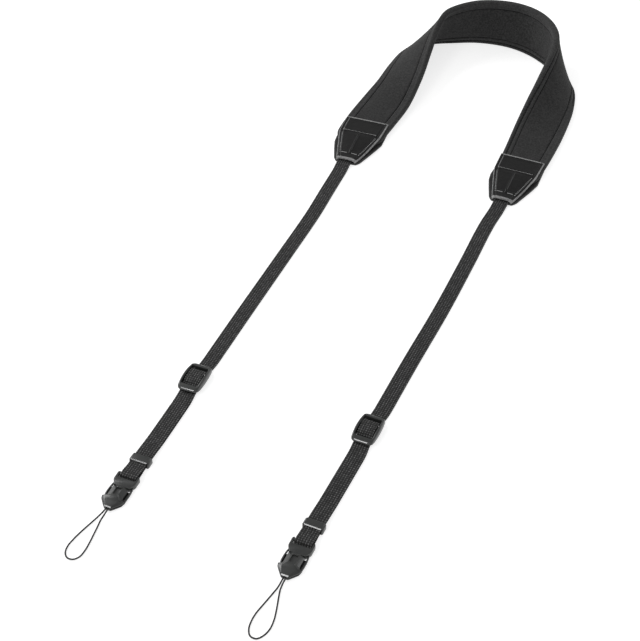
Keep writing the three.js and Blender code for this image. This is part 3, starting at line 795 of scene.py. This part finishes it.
web_ground_painted_shade = core_with_painted_shade()
web_yarn = nylon_yarn()
for side, leg in LEGS.items():
    middle, across, out = webbing_frame(leg)
    half_width, half_core = WEB_WIDTH / 2 - CORE_INSET, WEB_CORE / 2
    rings = [
        [MM * (middle[k] + half_width * a * across[k] + half_core * b * out[k]) for a, b in CORE_PROFILE]
        for k in range(len(middle))
    ]
    core = skin(f"{side}_strap_core", rings, [web_ground_painted_shade])
    ribs = []
    under_run = middle[:, 1] > leg["slider"] + 9
    first_run = np.arange(len(middle)) < len(middle) // 2
    under_rows = np.flatnonzero(under_run & first_run)
    for face, rows in ((1, np.arange(len(middle))), (-1, under_rows)):
        for column in range(RIB_COLUMNS):
            aside = (column + 0.5) / RIB_COLUMNS * 2 - 1
            line = middle[rows] + aside * (WEB_WIDTH / 2 + RIB_OVERHANG) * across[rows]
            line = line + face * half_core * out[rows]
            phase = RIB_PITCH / 2 * (column % 2)
            steps = np.linalg.norm(np.diff(line, axis=0), axis=1)
            travelled = np.concatenate([[0], np.cumsum(steps)])
            keep = travelled >= phase
            ribs.append((MM * line[keep], face * out[rows][keep]))
    yarn = sew(f"{side}_strap", ribs, web_yarn, RIB_PITCH, RIB_BEAD)
    strap = join([yarn, core], f"{side}_strap")
    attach(strap, "root")
    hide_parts(f"{side}_webbing")

# ---------------------------------------------------------------- leather tabs
# Two pieces of smooth black leather close over the end of the pad and the webbing and are sewn
# together. The front is panelled: a flat upper field, a folded seam, and two sloping fields
# either side of a ridge, and the rolled lip spans the webbing. Its cut edges are pale grey, partly
# their own colour and partly painted highlight, which also runs onto the face along them.
LEATHER = 1.2
TAB_FRONT = [
    # y from the mouth, half width, underside height in the middle and at the sides
    (0.0, 6.7, 3.6, 1.9),
    (2.5, 7.6, 3.1, 1.6),
    (7.0, 8.9, 3.0, 1.6),
    (14.0, 10.9, 3.8, 2.2),
    (21.0, 12.8, 4.6, 3.6),
    (29.0, 14.8, 5.2, 5.0),
    (38.0, 15.2, 5.45, 5.25),
    (46.5, 15.4, 5.7, 5.5),
]
TAB_BACK = [
    # y from the mouth, half width, how far the sides are turned up
    (0.5, 7.6, 0.3),
    (3.0, 9.6, 0.4),
    (12.0, 12.8, 0.9),
    (20.0, 15.4, 1.2),
    (28.0, 16.7, 0.2),
    (34.0, 16.4, 0.0),
    (45.5, 16.0, 0.0),
]
TAB_STEP = 0.3
TAB_COLUMNS = 96
TAB_TOP = 46.5
PANEL_SEAM = 30.0
SEAM_INSET = 2.3
PANEL_SEAM_BOW = [(-1, -0.2), (-0.5, 0.8), (0, 0.9), (0.5, 0.5), (1, -0.2)]
TOP_SEAM_INSET = 1.4
RIDGE_FOOT = 8.5
FOOT_SEAM = 7.6
FOOT_STITCHES = [(-5.4, -1.8), (1.8, 5.4)]
SIDE_SEAM_TOP = 27.5
# Bevel of the cut edges, and how wide a strip of pale grey, cut edge and painted highlight, shows at the
# side, top and mouth.
TAB_EDGE_BEVEL = 0.35
PALE_SIDE, PALE_TOP, PALE_LIP = 0.55, 0.8, 1.15


def at(rows, y, column):
    return float(np.interp(y, [row[0] for row in rows], [row[column] for row in rows]))


def bump(distance, width):
    """A smooth hump of height 1 that has faded out at the given distance."""
    return math.exp(-((2 * distance / width) ** 2))


def leather_relief(x, y, half):
    """Height of the front's surface above the plain sheet, in mm."""
    inset = min(half - abs(x), (TAB_TOP - y), 20)
    height = -0.32 * bump(inset - SEAM_INSET, 0.9)
    height += 0.12 * bump(inset - SEAM_INSET - 0.9, 1.0)
    field = half - SEAM_INSET
    if abs(x) < field:
        height += 0.5 * bump(y - PANEL_SEAM, 0.9)
        height -= 0.3 * bump(y - PANEL_SEAM - 1.1, 0.9)
    if y < PANEL_SEAM:
        ridge = 0.75 * bump(x, 1.1)
        slope = 0.55 * max(0.0, 1 - abs(x) / field)
        fade = min(1.0, max(0.0, (y - RIDGE_FOOT + 1.5) / 3)) * min(1.0, (PANEL_SEAM - y) / 3)
        height += (ridge + slope) * fade
        if abs(x) < field and abs(x) > 0.8:
            height -= 0.3 * bump(y - FOOT_SEAM, 0.8)
            height += 0.35 * bump(y - FOOT_SEAM - 0.9, 0.9)
    lip = min(1.0, max(0.0, 1 - y / 1.9))
    height += 0.75 * math.sqrt(max(0.0, 1 - (1 - lip) ** 2)) if lip > 0 else 0.0
    return height


def leather(name, shine, dark, light):
    """Smooth finished leather: fine pebbling, broad soft creases, a slight even gloss."""
    hide = Shader(name, Roughness=shine, Specular_IOR_Level=0.2)
    solid = hide.coordinates("Object")
    grain = hide.node("ShaderNodeTexVoronoi", {"Vector": solid, "Scale": 1500.0}).outputs["Distance"]
    creases = hide.noise(solid, 260.0, 4.0)
    wear = hide.noise(solid, 700.0, 4.0)
    hide.feed("Base Color", hide.ramp(wear, [(0.35, dark), (0.75, light)]))
    hide.feed("Roughness", hide.between(wear, shine - 0.08, shine + 0.14))
    hide.relief([(creases, 0.35, 0.0004), (grain, 0.35, 0.00008)])
    return hide.material


tab_hide = leather("tab_leather", 0.4, grey(0.004), grey(0.009))
lining_hide = leather("lining_leather", 0.45, grey(0.030), grey(0.050))
# Pale grey for the cut edges: partly the edge's own colour, partly painted highlight on the edges and the
# lip.
tab_edge_and_highlight = leather("tab_cut_edge_and_painted_highlight", 0.5, grey(0.16), grey(0.34))
# Pale grey thread: partly the thread's own colour, partly painted highlight along the seams.
tab_thread_painted_highlight = sewing_thread("tab_thread_painted_highlight", 0.34, 0.5)


def tab_surface_height(x, y):
    half, middle, edge = (at(TAB_FRONT, y, column) for column in (1, 2, 3))
    v = max(-1.0, min(1.0, x / half))
    return edge + (middle - edge) * (1 - v**6) + LEATHER + leather_relief(x, y, half)


def tab_front_rings():
    """Rings across the tab, each from its left edge over the top to the right and back under."""
    rings = []
    steps = round(TAB_TOP / TAB_STEP)
    for i in range(steps + 1):
        y = TAB_TOP * i / steps
        half, middle, edge = (at(TAB_FRONT, y, column) for column in (1, 2, 3))
        cut = TAB_EDGE_BEVEL
        end_cut = max(0.0, cut - min(y, TAB_TOP - y))
        ring = []
        for k in range(TAB_COLUMNS + 1):
            x = (2 * k / TAB_COLUMNS - 1) * (half - cut)
            ring.append((x, y, tab_surface_height(x, y) - end_cut))
        right = [(half, y, edge + LEATHER - cut), (half, y, edge)]
        left = [(-half, y, edge), (-half, y, edge + LEATHER - cut)]
        under = []
        for k in range(11, 0, -1):
            v = 2 * k / 12 - 1
            under.append((v * half, y, edge + (middle - edge) * (1 - v**6)))
        rings.append(ring + right + under + left)
    return rings


def tab_back_rings():
    rings = []
    for i in range(61):
        y = TAB_BACK[0][0] + (TAB_BACK[-1][0] - TAB_BACK[0][0]) * i / 60
        half, turned_up = at(TAB_BACK, y, 1), at(TAB_BACK, y, 2)
        cut = TAB_EDGE_BEVEL
        over = np.linspace(-1, 1, 41)
        top = [(v * (half - cut), y, LEATHER + turned_up * v**6) for v in over]
        under = [(v * (half - cut), y, turned_up * v**6) for v in -over]
        rim = turned_up + np.array([LEATHER - cut, cut])
        ring = top + [(half, y, z) for z in rim] + under + [(-half, y, z) for z in rim[::-1]]
        rings.append(ring)
    return rings


def placed(points, place):
    return [[place @ (MM * Vector(p)) for p in ring] for ring in points]


def on_cut_edge_or_highlight(x, y):
    """Whether a place on the front, in the tab's own mm, lies on its pale cut edge or the painted highlight
    along it.
    """
    half = at(TAB_FRONT, y, 1)
    near_side = half - x < PALE_SIDE or half + x < TAB_EDGE_BEVEL
    near_end = y < PALE_LIP or TAB_TOP - y < PALE_TOP
    return near_side or near_end


for side, leg in LEGS.items():
    turn = Matrix.Rotation(math.radians(leg["tab_turn"]), 4, "Z")
    place = Matrix.Translation(MM * Vector((*leg["mouth"], 0))) @ turn
    to_tab = place.inverted()
    front = skin(f"{side}_tab_leather", placed(tab_front_rings(), place), [tab_hide, tab_edge_and_highlight])
    for polygon in front.data.polygons:
        x, y, z = to_tab @ polygon.center / MM
        polygon.material_index = 1 if on_cut_edge_or_highlight(x, y) else 0
    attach(front, "root")
    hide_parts(f"{side}_tab_front")
    back = skin(f"{side}_tab_lining", placed(tab_back_rings(), place), [lining_hide])
    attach(back, "root")
    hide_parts(f"{side}_tab_back")

    def seam(corners, lift=0.1):
        """A line of stitches over the front's surface through corners (x, y) in the tab's mm."""
        points = []
        for (x0, y0), (x1, y1) in zip(corners, corners[1:]):
            steps = max(2, round(math.hypot(x1 - x0, y1 - y0) / 0.4))
            for k in range(steps):
                x = x0 + (x1 - x0) * k / steps
                y = y0 + (y1 - y0) * k / steps
                points.append(place @ (MM * Vector((x, y, tab_surface_height(x, y) + lift))))
        out = np.tile(np.array([[0.0, 0.0, 1.0]]), (len(points), 1))
        return np.array([tuple(p) for p in points]), out

    def inset_side(sign, low, high):
        return [(sign * (at(TAB_FRONT, y, 1) - SEAM_INSET), y) for y in (low, (low + high) / 2, high)]

    top = TAB_TOP - SEAM_INSET
    field = at(TAB_FRONT, PANEL_SEAM, 1) - SEAM_INSET - 0.6
    bowed = [(share * field, PANEL_SEAM + rise) for share, rise in PANEL_SEAM_BOW]
    top_reach = at(TAB_FRONT, TAB_TOP, 1) - SEAM_INSET
    fine = [
        seam(inset_side(-1, PANEL_SEAM + 1, top)),
        seam([(-top_reach, TAB_TOP - TOP_SEAM_INSET), (top_reach, TAB_TOP - TOP_SEAM_INSET)]),
        seam(bowed),
    ]
    coarse = [seam(inset_side(sign, FOOT_SEAM, SIDE_SEAM_TOP)) for sign in (-1, 1)]
    foot = [seam([(a, FOOT_SEAM), (b, FOOT_SEAM)]) for a, b in FOOT_STITCHES]
    rows = [
        sew(f"{side}_tab_{label}", lines, tab_thread_painted_highlight, pitch, bead)
        for label, lines, pitch, bead in [
            ("stitches", fine, 1.0, (0.9, 0.55, 0.4)),
            ("close_stitches", coarse, 1.3, (0.75, 0.95, 0.45)),
            ("foot_stitches", foot, 0.8, (1.0, 0.8, 0.55)),
        ]
    ]
    stitches = join(rows, f"{side}_tab_stitches")
    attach(stitches, "root")

# ---------------------------------------------------------------- sliders
# A bowed frame moulded in dark nylon, with a lower bar across its middle that the webbing is
# passes over and ends round. Its sides are barrelled in plan and its rim is rounded.
SLIDER = {
    "half_length": 11.2,
    "half_width": 7.0,
    "corner": 3.0,
    "barrel": 0.5,
    "window": 5.25,
    "window_corner": 0.7,
    "window_far": 7.9,
    "window_near": -7.4,
    "base": 1.9,
    "near_clear": 2.75,
    "end_top": 4.2,
    "crest": 5.8,
}
MIDDLE_BAR = {"far": 3.7, "near": -3.4, "low": 1.25, "high": 2.05}
CORNER_STEPS = 6
SIDE_STEPS = 14
NYLON_DARK = (0.016, 0.017, 0.0165)
NYLON_LIGHT = (0.027, 0.0285, 0.0275)


def rounded_outline(half_width, near, far, radius, barrel):
    """Points round a rectangle with round corners, its long sides bulging by barrel."""
    points = []
    for side, start, ends in ((1, -90, (near, far)), (-1, 90, (far, near))):
        first, last = ends
        inward = 1 if last > first else -1
        middle = (half_width - barrel - radius) * side
        for k in range(CORNER_STEPS + 1):
            a = math.radians(start + 90 * k / CORNER_STEPS)
            level = first + inward * radius
            points.append((middle + radius * math.cos(a), level + radius * math.sin(a)))
        for k in range(1, SIDE_STEPS):
            t = k / SIDE_STEPS
            y = first + inward * radius + (last - first - 2 * inward * radius) * t
            points.append((side * (half_width - barrel * (2 * t - 1) ** 2), y))
        for k in range(CORNER_STEPS + 1):
            a = math.radians(start + 90 + 90 * k / CORNER_STEPS)
            level = last - inward * radius
            points.append((middle + radius * math.cos(a), level + radius * math.sin(a)))
        points += [(middle * (1 - 2 * k / SIDE_STEPS), last) for k in range(1, SIDE_STEPS)]
    return points


def slider_top(y):
    s = SLIDER
    return s["end_top"] + (s["crest"] - s["end_top"]) * (1 - (y / s["half_length"]) ** 2)


def slider_rings():
    """One section of the frame at each place round it, from the window to the rim."""
    s = SLIDER
    inner = rounded_outline(s["window"], s["window_near"], s["window_far"], s["window_corner"], 0)
    length = s["half_length"]
    outer = rounded_outline(s["half_width"], -length, length, s["corner"], s["barrel"])
    rings = []
    for (xi, yi), (xo, yo) in zip(inner, outer):
        def spot(t, z, xi=xi, yi=yi, xo=xo, yo=yo):
            return (xi + (xo - xi) * t, yi + (yo - yi) * t, z)

        near_end = max(0.0, min(1.0, (s["window_near"] + 1.2 - yi) / 1.2))
        base = s["base"] + (s["near_clear"] - s["base"]) * near_end
        inner_top, outer_top = slider_top(yi) - 0.1, slider_top(yo)
        rings.append([
            spot(0, base),
            spot(0, inner_top - 0.35),
            spot(0.06, inner_top - 0.08),
            spot(0.18, inner_top),
            spot(0.45, 0.55 * inner_top + 0.45 * outer_top + 0.12),
            spot(0.72, 0.25 * inner_top + 0.75 * outer_top - 0.05),
            spot(0.86, outer_top - 0.38),
            spot(0.955, outer_top - 0.78),
            spot(1.0, outer_top - 1.3),
            spot(1.0, max(base, s["base"]) + 0.3),
            spot(0.96, base + 0.06),
            spot(0.88, base),
        ])
    return rings


def bar_across(half_width, near, far, low, high):
    """A bar across the strap with its long edges cut back."""
    cut = min(0.25, (high - low) / 3)
    profile = [
        (near + cut, low), (far - cut, low), (far, low + cut), (far, high - cut),
        (far - cut, high), (near + cut, high), (near, high - cut), (near, low + cut),
    ]
    return [[(x, y, z) for y, z in profile] for x in (-half_width, half_width)]


def moulded_plastic(name, glossy, dull, reflection):
    """Dark grey moulded nylon: a fine spark-eroded texture and a soft even gloss."""
    moulded = Shader(name, Specular_IOR_Level=reflection)
    solid = moulded.coordinates("Object")
    texture = moulded.noise(solid, 3800.0, 2.0)
    flow = moulded.noise(solid, 140.0, 3.0)
    tone = moulded.mixed(texture, flow, 0.35)
    moulded.feed("Base Color", moulded.ramp(tone, [(0.36, NYLON_DARK), (0.64, NYLON_LIGHT)]))
    moulded.feed("Roughness", moulded.between(flow, glossy, dull))
    moulded.relief([(texture, 0.3, 0.00003)])
    return moulded.material


def fitting_place(leg, y):
    """Where a fitting sits on its leg: turned with the webbing, standing on the table."""
    turn = -math.atan((leg_x(leg, y + 4) - leg_x(leg, y - 4)) / 8)
    return Matrix.Translation(MM * Vector((leg_x(leg, y), y, 0))) @ Matrix.Rotation(turn, 4, "Z")


def rounded_off(made, width, sharp):
    """The body with every edge sharper than the given angle rounded over."""
    rounding = made.modifiers.new("rounding", "BEVEL")
    rounding.width = width
    rounding.segments = 3
    rounding.limit_method = "ANGLE"
    rounding.angle_limit = math.radians(sharp)
    return baked(made)


def moulded_piece(name, made, place, node, sharp=30, faceted=True):
    """Flat faces between smooth rounded edges, and the plastic's finish, set in place."""
    if faceted:
        corners = [vertex.co for vertex in made.data.vertices]
        for polygon in made.data.polygons:
            loop = [corners[k] for k in polygon.vertices]
            rim = sum((a - b).length for a, b in zip(loop, loop[1:] + loop[:1]))
            polygon.use_smooth = polygon.area < NARROW_FACE * rim
    made.data.transform(place @ Matrix.Scale(MM, 4))
    made.data.set_sharp_from_angle(angle=math.radians(sharp))
    made.name = name
    made.data.materials.clear()
    made.data.materials.append(nylon)
    made.data.materials.append(rubbed_nylon)
    for polygon in made.data.polygons:
        if polygon.normal.dot(NEAR_AND_UP) > RUBBED_LIMIT:
            polygon.material_index = 1
            polygon.use_smooth = polygon.use_smooth and not faceted
    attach(made, "root")
    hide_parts(node)


# Faces narrower than this many mm stay smooth as part of a rounded edge. Edges that face up and
# towards the buckle are rubbed bright.
NARROW_FACE = 0.06
NEAR_AND_UP = Vector((0.0, -1.0, 1.0)).normalized()
RUBBED_LIMIT = 0.93
nylon = moulded_plastic("moulded_nylon", 0.24, 0.36, 0.5)
rubbed_nylon = moulded_plastic("rubbed_nylon", 0.1, 0.18, 1.0)
for side, leg in LEGS.items():
    frame_part = skin("slider_frame", slider_rings(), round_trip=True)
    crossbar = skin("slider_bar", bar_across(SLIDER["window"] + 0.3, **MIDDLE_BAR))
    slider = join([frame_part, crossbar], "slider")
    place = fitting_place(leg, leg["slider"])
    moulded_piece(f"{side}_adjuster", slider, place, f"{side}_slider", 38, faceted=False)

# ---------------------------------------------------------------- keepers
# A short moulded ring of the same nylon holds both layers of webbing together. Its top has
# sloping shoulders and its end towards the buckle is rounded over.
KEEPER = {"half_length": 2.6, "half_width": 5.9, "height": 3.9, "wall": 0.6, "hole": 5.25}
KEEPER_SHOULDER = 0.95


def keeper_outline(shrink):
    w, top, cut = KEEPER["half_width"] - 0.5 * shrink, KEEPER["height"] - shrink, KEEPER_SHOULDER
    low = 0.15 * shrink
    return [(-w, low), (w, low), (w, top - cut), (w - cut, top), (cut - w, top), (-w, top - cut)]


def cut_away(made, cutter):
    """The first body with the second cut out of it."""
    cutting = made.modifiers.new("cut", "BOOLEAN")
    cutting.operation = "DIFFERENCE"
    cutting.solver = "EXACT"
    cutting.object = cutter
    made = baked(made)
    bpy.data.objects.remove(cutter)
    return made


def box(x, y, z):
    """A plain block between limits on each axis, for cutting."""
    corners = [(x[0], z[0]), (x[1], z[0]), (x[1], z[1]), (x[0], z[1])]
    return skin("cutter", [[(a, level, b) for a, b in corners] for level in y])


for side, leg in LEGS.items():
    ends = KEEPER["half_length"]
    stations = [(ends, 0.3), (ends - 0.3, 0), (0.8 - ends, 0), (-ends, 0.75)]
    rings = [[(x, y, z) for x, z in keeper_outline(shrink)] for y, shrink in stations]
    hole = KEEPER["hole"]
    opening = box((-hole, hole), (-9, 9), (KEEPER["wall"], KEEPER["height"] - KEEPER["wall"]))
    ring = cut_away(skin("keeper", rings), opening)
    ring = rounded_off(ring, 0.12, 40)
    moulded_piece(f"{side}_keeper_ring", ring, fitting_place(leg, leg["keeper"]), f"{side}_keeper")

# ---------------------------------------------------------------- buckle bodies
# The webbing's half of the side-release buckle: a plate with the webbing's slot and bar, a
# tongue that enters the cap, and two springy arms to press. u runs towards the cord, in mm.
BUCKLE_PLAN = [
    # half of the plate's outline: across, u
    (4.4, 9.5), (4.9, 8.9), (5.5, 7.6), (6.1, 6.8), (6.5, 5.6), (6.5, 1.1), (6.3, 0.4), (5.7, 0.0),
    (5.35, 0.0), (5.35, 4.0),
]
BUCKLE_LOW, BUCKLE_HIGH = 0.5, 3.7
BUCKLE_EDGE = 0.25
ARM_STATIONS = [
    # u, inner and outer distance from the middle
    (6.6, 5.0, 5.9),
    (8.5, 5.45, 6.3),
    (12.0, 5.7, 6.6),
    (15.0, 5.65, 6.55),
    (17.2, 5.4, 6.3),
]
ARM_LOW, ARM_OUTER_TOP, ARM_INNER_TOP = 0.9, 2.0, 2.2
TONGUE_STATIONS = [(8.6, 3.0, 2.7, 2.4), (15.2, 3.0, 2.7, 2.4), (16.2, 2.2, 1.9, 2.4)]
TONGUE_LOW, TONGUE_HIGH = 1.5, 2.7


def block_rings(stations, low, high, shoulder):
    """Sections along u: (u, half width, half width of the flat top, side's upper edge)."""
    rings = []
    for u, half, flat, edge in stations:
        rings.append([
            (-half + shoulder, -u, low), (half - shoulder, -u, low), (half, -u, low + shoulder),
            (half, -u, edge), (flat, -u, high), (-flat, -u, high), (-half, -u, edge),
            (-half, -u, low + shoulder),
        ])
    return rings


for side, leg in LEGS.items():
    place = fitting_place(leg, leg["bar"] + 1)
    outline = BUCKLE_PLAN + [(-v, u) for v, u in reversed(BUCKLE_PLAN)]
    levels = (BUCKLE_LOW, BUCKLE_HIGH)
    plate = skin("plate", [[(v, -u, level) for v, u in outline] for level in levels])
    rod = tube("bar", [(x, -1.0, BUCKLE_BAR_HEIGHT) for x in np.linspace(-5.6, 5.6, 5)], 0.6, 16)
    parts = [rounded_off(plate, BUCKLE_EDGE, 30), rod]
    parts.append(skin("tongue", block_rings(TONGUE_STATIONS, TONGUE_LOW, TONGUE_HIGH, 0.3)))
    for sign in (-1, 1):
        rings = []
        for u, a, b in ARM_STATIONS:
            corners = [(a, ARM_LOW), (b, ARM_LOW), (b, ARM_OUTER_TOP), (a, ARM_INNER_TOP)]
            rings.append([(sign * v, -u, z) for v, z in corners])
        parts.append(rounded_off(skin("arm", rings), 0.25, 40))
    body = join(parts, "buckle")
    moulded_piece(f"{side}_buckle", body, place, f"{side}_buckle_body")

# ---------------------------------------------------------------- buckle caps
# The cord's half: a channel that takes the tongue, between the arms, and an arrow-shaped head
# in two shells that meet in a fine groove. Its top has a raised bar, a sunk panel and a rib.
CAP_STATIONS = [
    # u, half width, half width of the flat top, top height, height of the side's upper edge
    (9.6, 4.5, 1.6, 3.85, 2.6),
    (10.1, 4.6, 1.7, 4.1, 2.7),
    (16.4, 4.6, 1.9, 4.2, 2.7),
    (17.6, 5.4, 2.8, 4.2, 2.9),
    (18.2, 6.6, 3.8, 4.1, 3.1),
    (20.2, 6.0, 3.8, 4.0, 3.05),
    (22.9, 3.8, 2.7, 3.75, 3.0),
    (24.0, 2.9, 2.2, 3.6, 3.0),
    (24.7, 2.3, 1.9, 3.0, 2.7),
]
LOWER_SHELL = [
    (9.7, 4.3), (16.6, 4.3), (17.6, 5.1), (18.3, 6.3), (20.1, 5.8), (22.8, 3.6), (24.4, 2.2),
]
CAP_PARTING = 2.4
CAP_GROOVE = 0.95
CAP_HOLLOWS = [
    # limits across, along and in height: the sunk panel, the tongue's pocket, the cord's hole
    ((-1.5, 1.5), (-16.0, -11.2), (3.3, 9)),
    ((-3.3, 3.3), (-16.8, -8.0), (1.0, 2.9)),
    ((-1.3, 1.3), (-30, -21.2), (1.0, 2.55)),
]
SEAM_CORE = [(17.2, 4.2), (18.6, 5.4), (20.0, 4.9), (20.9, 4.2)]
GAP_FLOOR = [(9.9, 6.2), (17.8, 6.2)]


def upper_shell_rings():
    rings = []
    for u, half, flat, top, edge in CAP_STATIONS:
        rings.append([
            (-half, -u, CAP_PARTING), (half, -u, CAP_PARTING), (half, -u, edge), (flat, -u, top),
            (-flat, -u, top), (-half, -u, edge),
        ])
    return rings


def lower_shell_rings():
    rings = []
    for u, half in LOWER_SHELL:
        low = 0.6 if u < 17 else 0.12
        top = CAP_PARTING - CAP_GROOVE
        foot = half - 0.7
        rings.append([
            (-foot, -u, low), (foot, -u, low), (half, -u, low + 0.7), (half, -u, top),
            (-half, -u, top), (-half, -u, low + 0.7),
        ])
    return rings


def slab_rings(stations, low, high):
    """Plain square sections along u: (u, half width)."""
    return [
        [(-half, -u, low), (half, -u, low), (half, -u, high), (-half, -u, high)]
        for u, half in stations
    ]


def slim_bar(start, end, half_width, low, high):
    """A short raised bar between two points of the plan (across, u)."""
    start, end = np.array(start, float), np.array(end, float)
    along = unit(end - start)
    side = np.array([-along[1], along[0]]) * half_width
    rings = []
    for point, (floor_height, roof) in ((start, (low[0], high[0])), (end, (low[1], high[1]))):
        a, b = point - side, point + side
        rings.append([
            (a[0], -a[1], floor_height), (b[0], -b[1], floor_height),
            (b[0], -b[1], roof), (a[0], -a[1], roof),
        ])
    return skin("bar", rings)


for side, leg in LEGS.items():
    place = fitting_place(leg, leg["bar"] + 1)
    upper = skin("upper_shell", upper_shell_rings())
    for hollow in CAP_HOLLOWS:
        upper = cut_away(upper, box(*hollow))
    lower = skin("lower_shell", lower_shell_rings())
    seam_core = skin("seam_core", slab_rings(SEAM_CORE, 1.2, 2.6))
    gap_floor = skin("gap_floor", slab_rings(GAP_FLOOR, 0.4, 0.8))
    raised_bar = slim_bar((-1.6, 10.7), (1.6, 10.7), 0.38, (3.6, 3.6), (4.5, 4.5))
    rib = slim_bar((2.2, 16.3), (4.9, 19.0), 0.4, (3.0, 2.6), (4.75, 4.3))
    shells = [rounded_off(part, 0.14, 24) for part in (upper, lower, raised_bar, rib)]
    cap = join([*shells, seam_core, gap_floor], "cap")
    moulded_piece(f"{side}_cap", cap, place, f"{side}_buckle_cap")

# ---------------------------------------------------------------- floor and light
# A plain white table and soft studio light: a large lamp above and to the left, small ones
# in front and behind that light the plastic's edges, and a bright even room.
HALF_FLOOR = 6.0
FLOOR_LEVEL = -0.0002
WORLD_STRENGTH = 0.55
floor_mesh = bpy.data.meshes.new("table_top")
corners = [(x * HALF_FLOOR, y * HALF_FLOOR, FLOOR_LEVEL) for x, y in ((-1, -1), (1, -1), (1, 1), (-1, 1))]
floor_mesh.from_pydata(corners, [], [(0, 1, 2, 3)])
floor = new_object("table_top", floor_mesh)
glow = {"Emission_Strength": 0.72, "Emission_Color": (1, 1, 1, 1)}
table_white = Shader("table_white", Roughness=0.9, Base_Color=(0.5, 0.5, 0.5, 1), **glow)
floor.data.materials.append(table_white.material)

world = bpy.data.worlds.new("studio")
world.use_nodes = True
background = world.node_tree.nodes["Background"]
background.inputs["Color"].default_value = (1, 1, 1, 1)
background.inputs["Strength"].default_value = WORLD_STRENGTH
bpy.context.scene.world = world

LAMPS = [
    # name, place, size, watts
    ("overhead_left", (-1.35, 0.25, 1.0), 0.9, 19.5),
    ("front_high", (-0.47, -1.25, 1.15), 0.45, 5),
    ("back_right", (1.10, 1.20, 0.50), 0.6, 4),
]
for name, place, size, watts in LAMPS:
    lamp_data = bpy.data.lights.new(name, "AREA")
    lamp_data.size = size
    lamp_data.energy = watts
    lamp = bpy.data.objects.new(name, lamp_data)
    lamp.location = place
    lamp.rotation_mode = "QUATERNION"
    lamp.rotation_quaternion = (-Vector(place)).to_track_quat("-Z", "Y")
    bpy.context.collection.objects.link(lamp)
bpy.context.scene.view_settings.view_transform = "Standard"
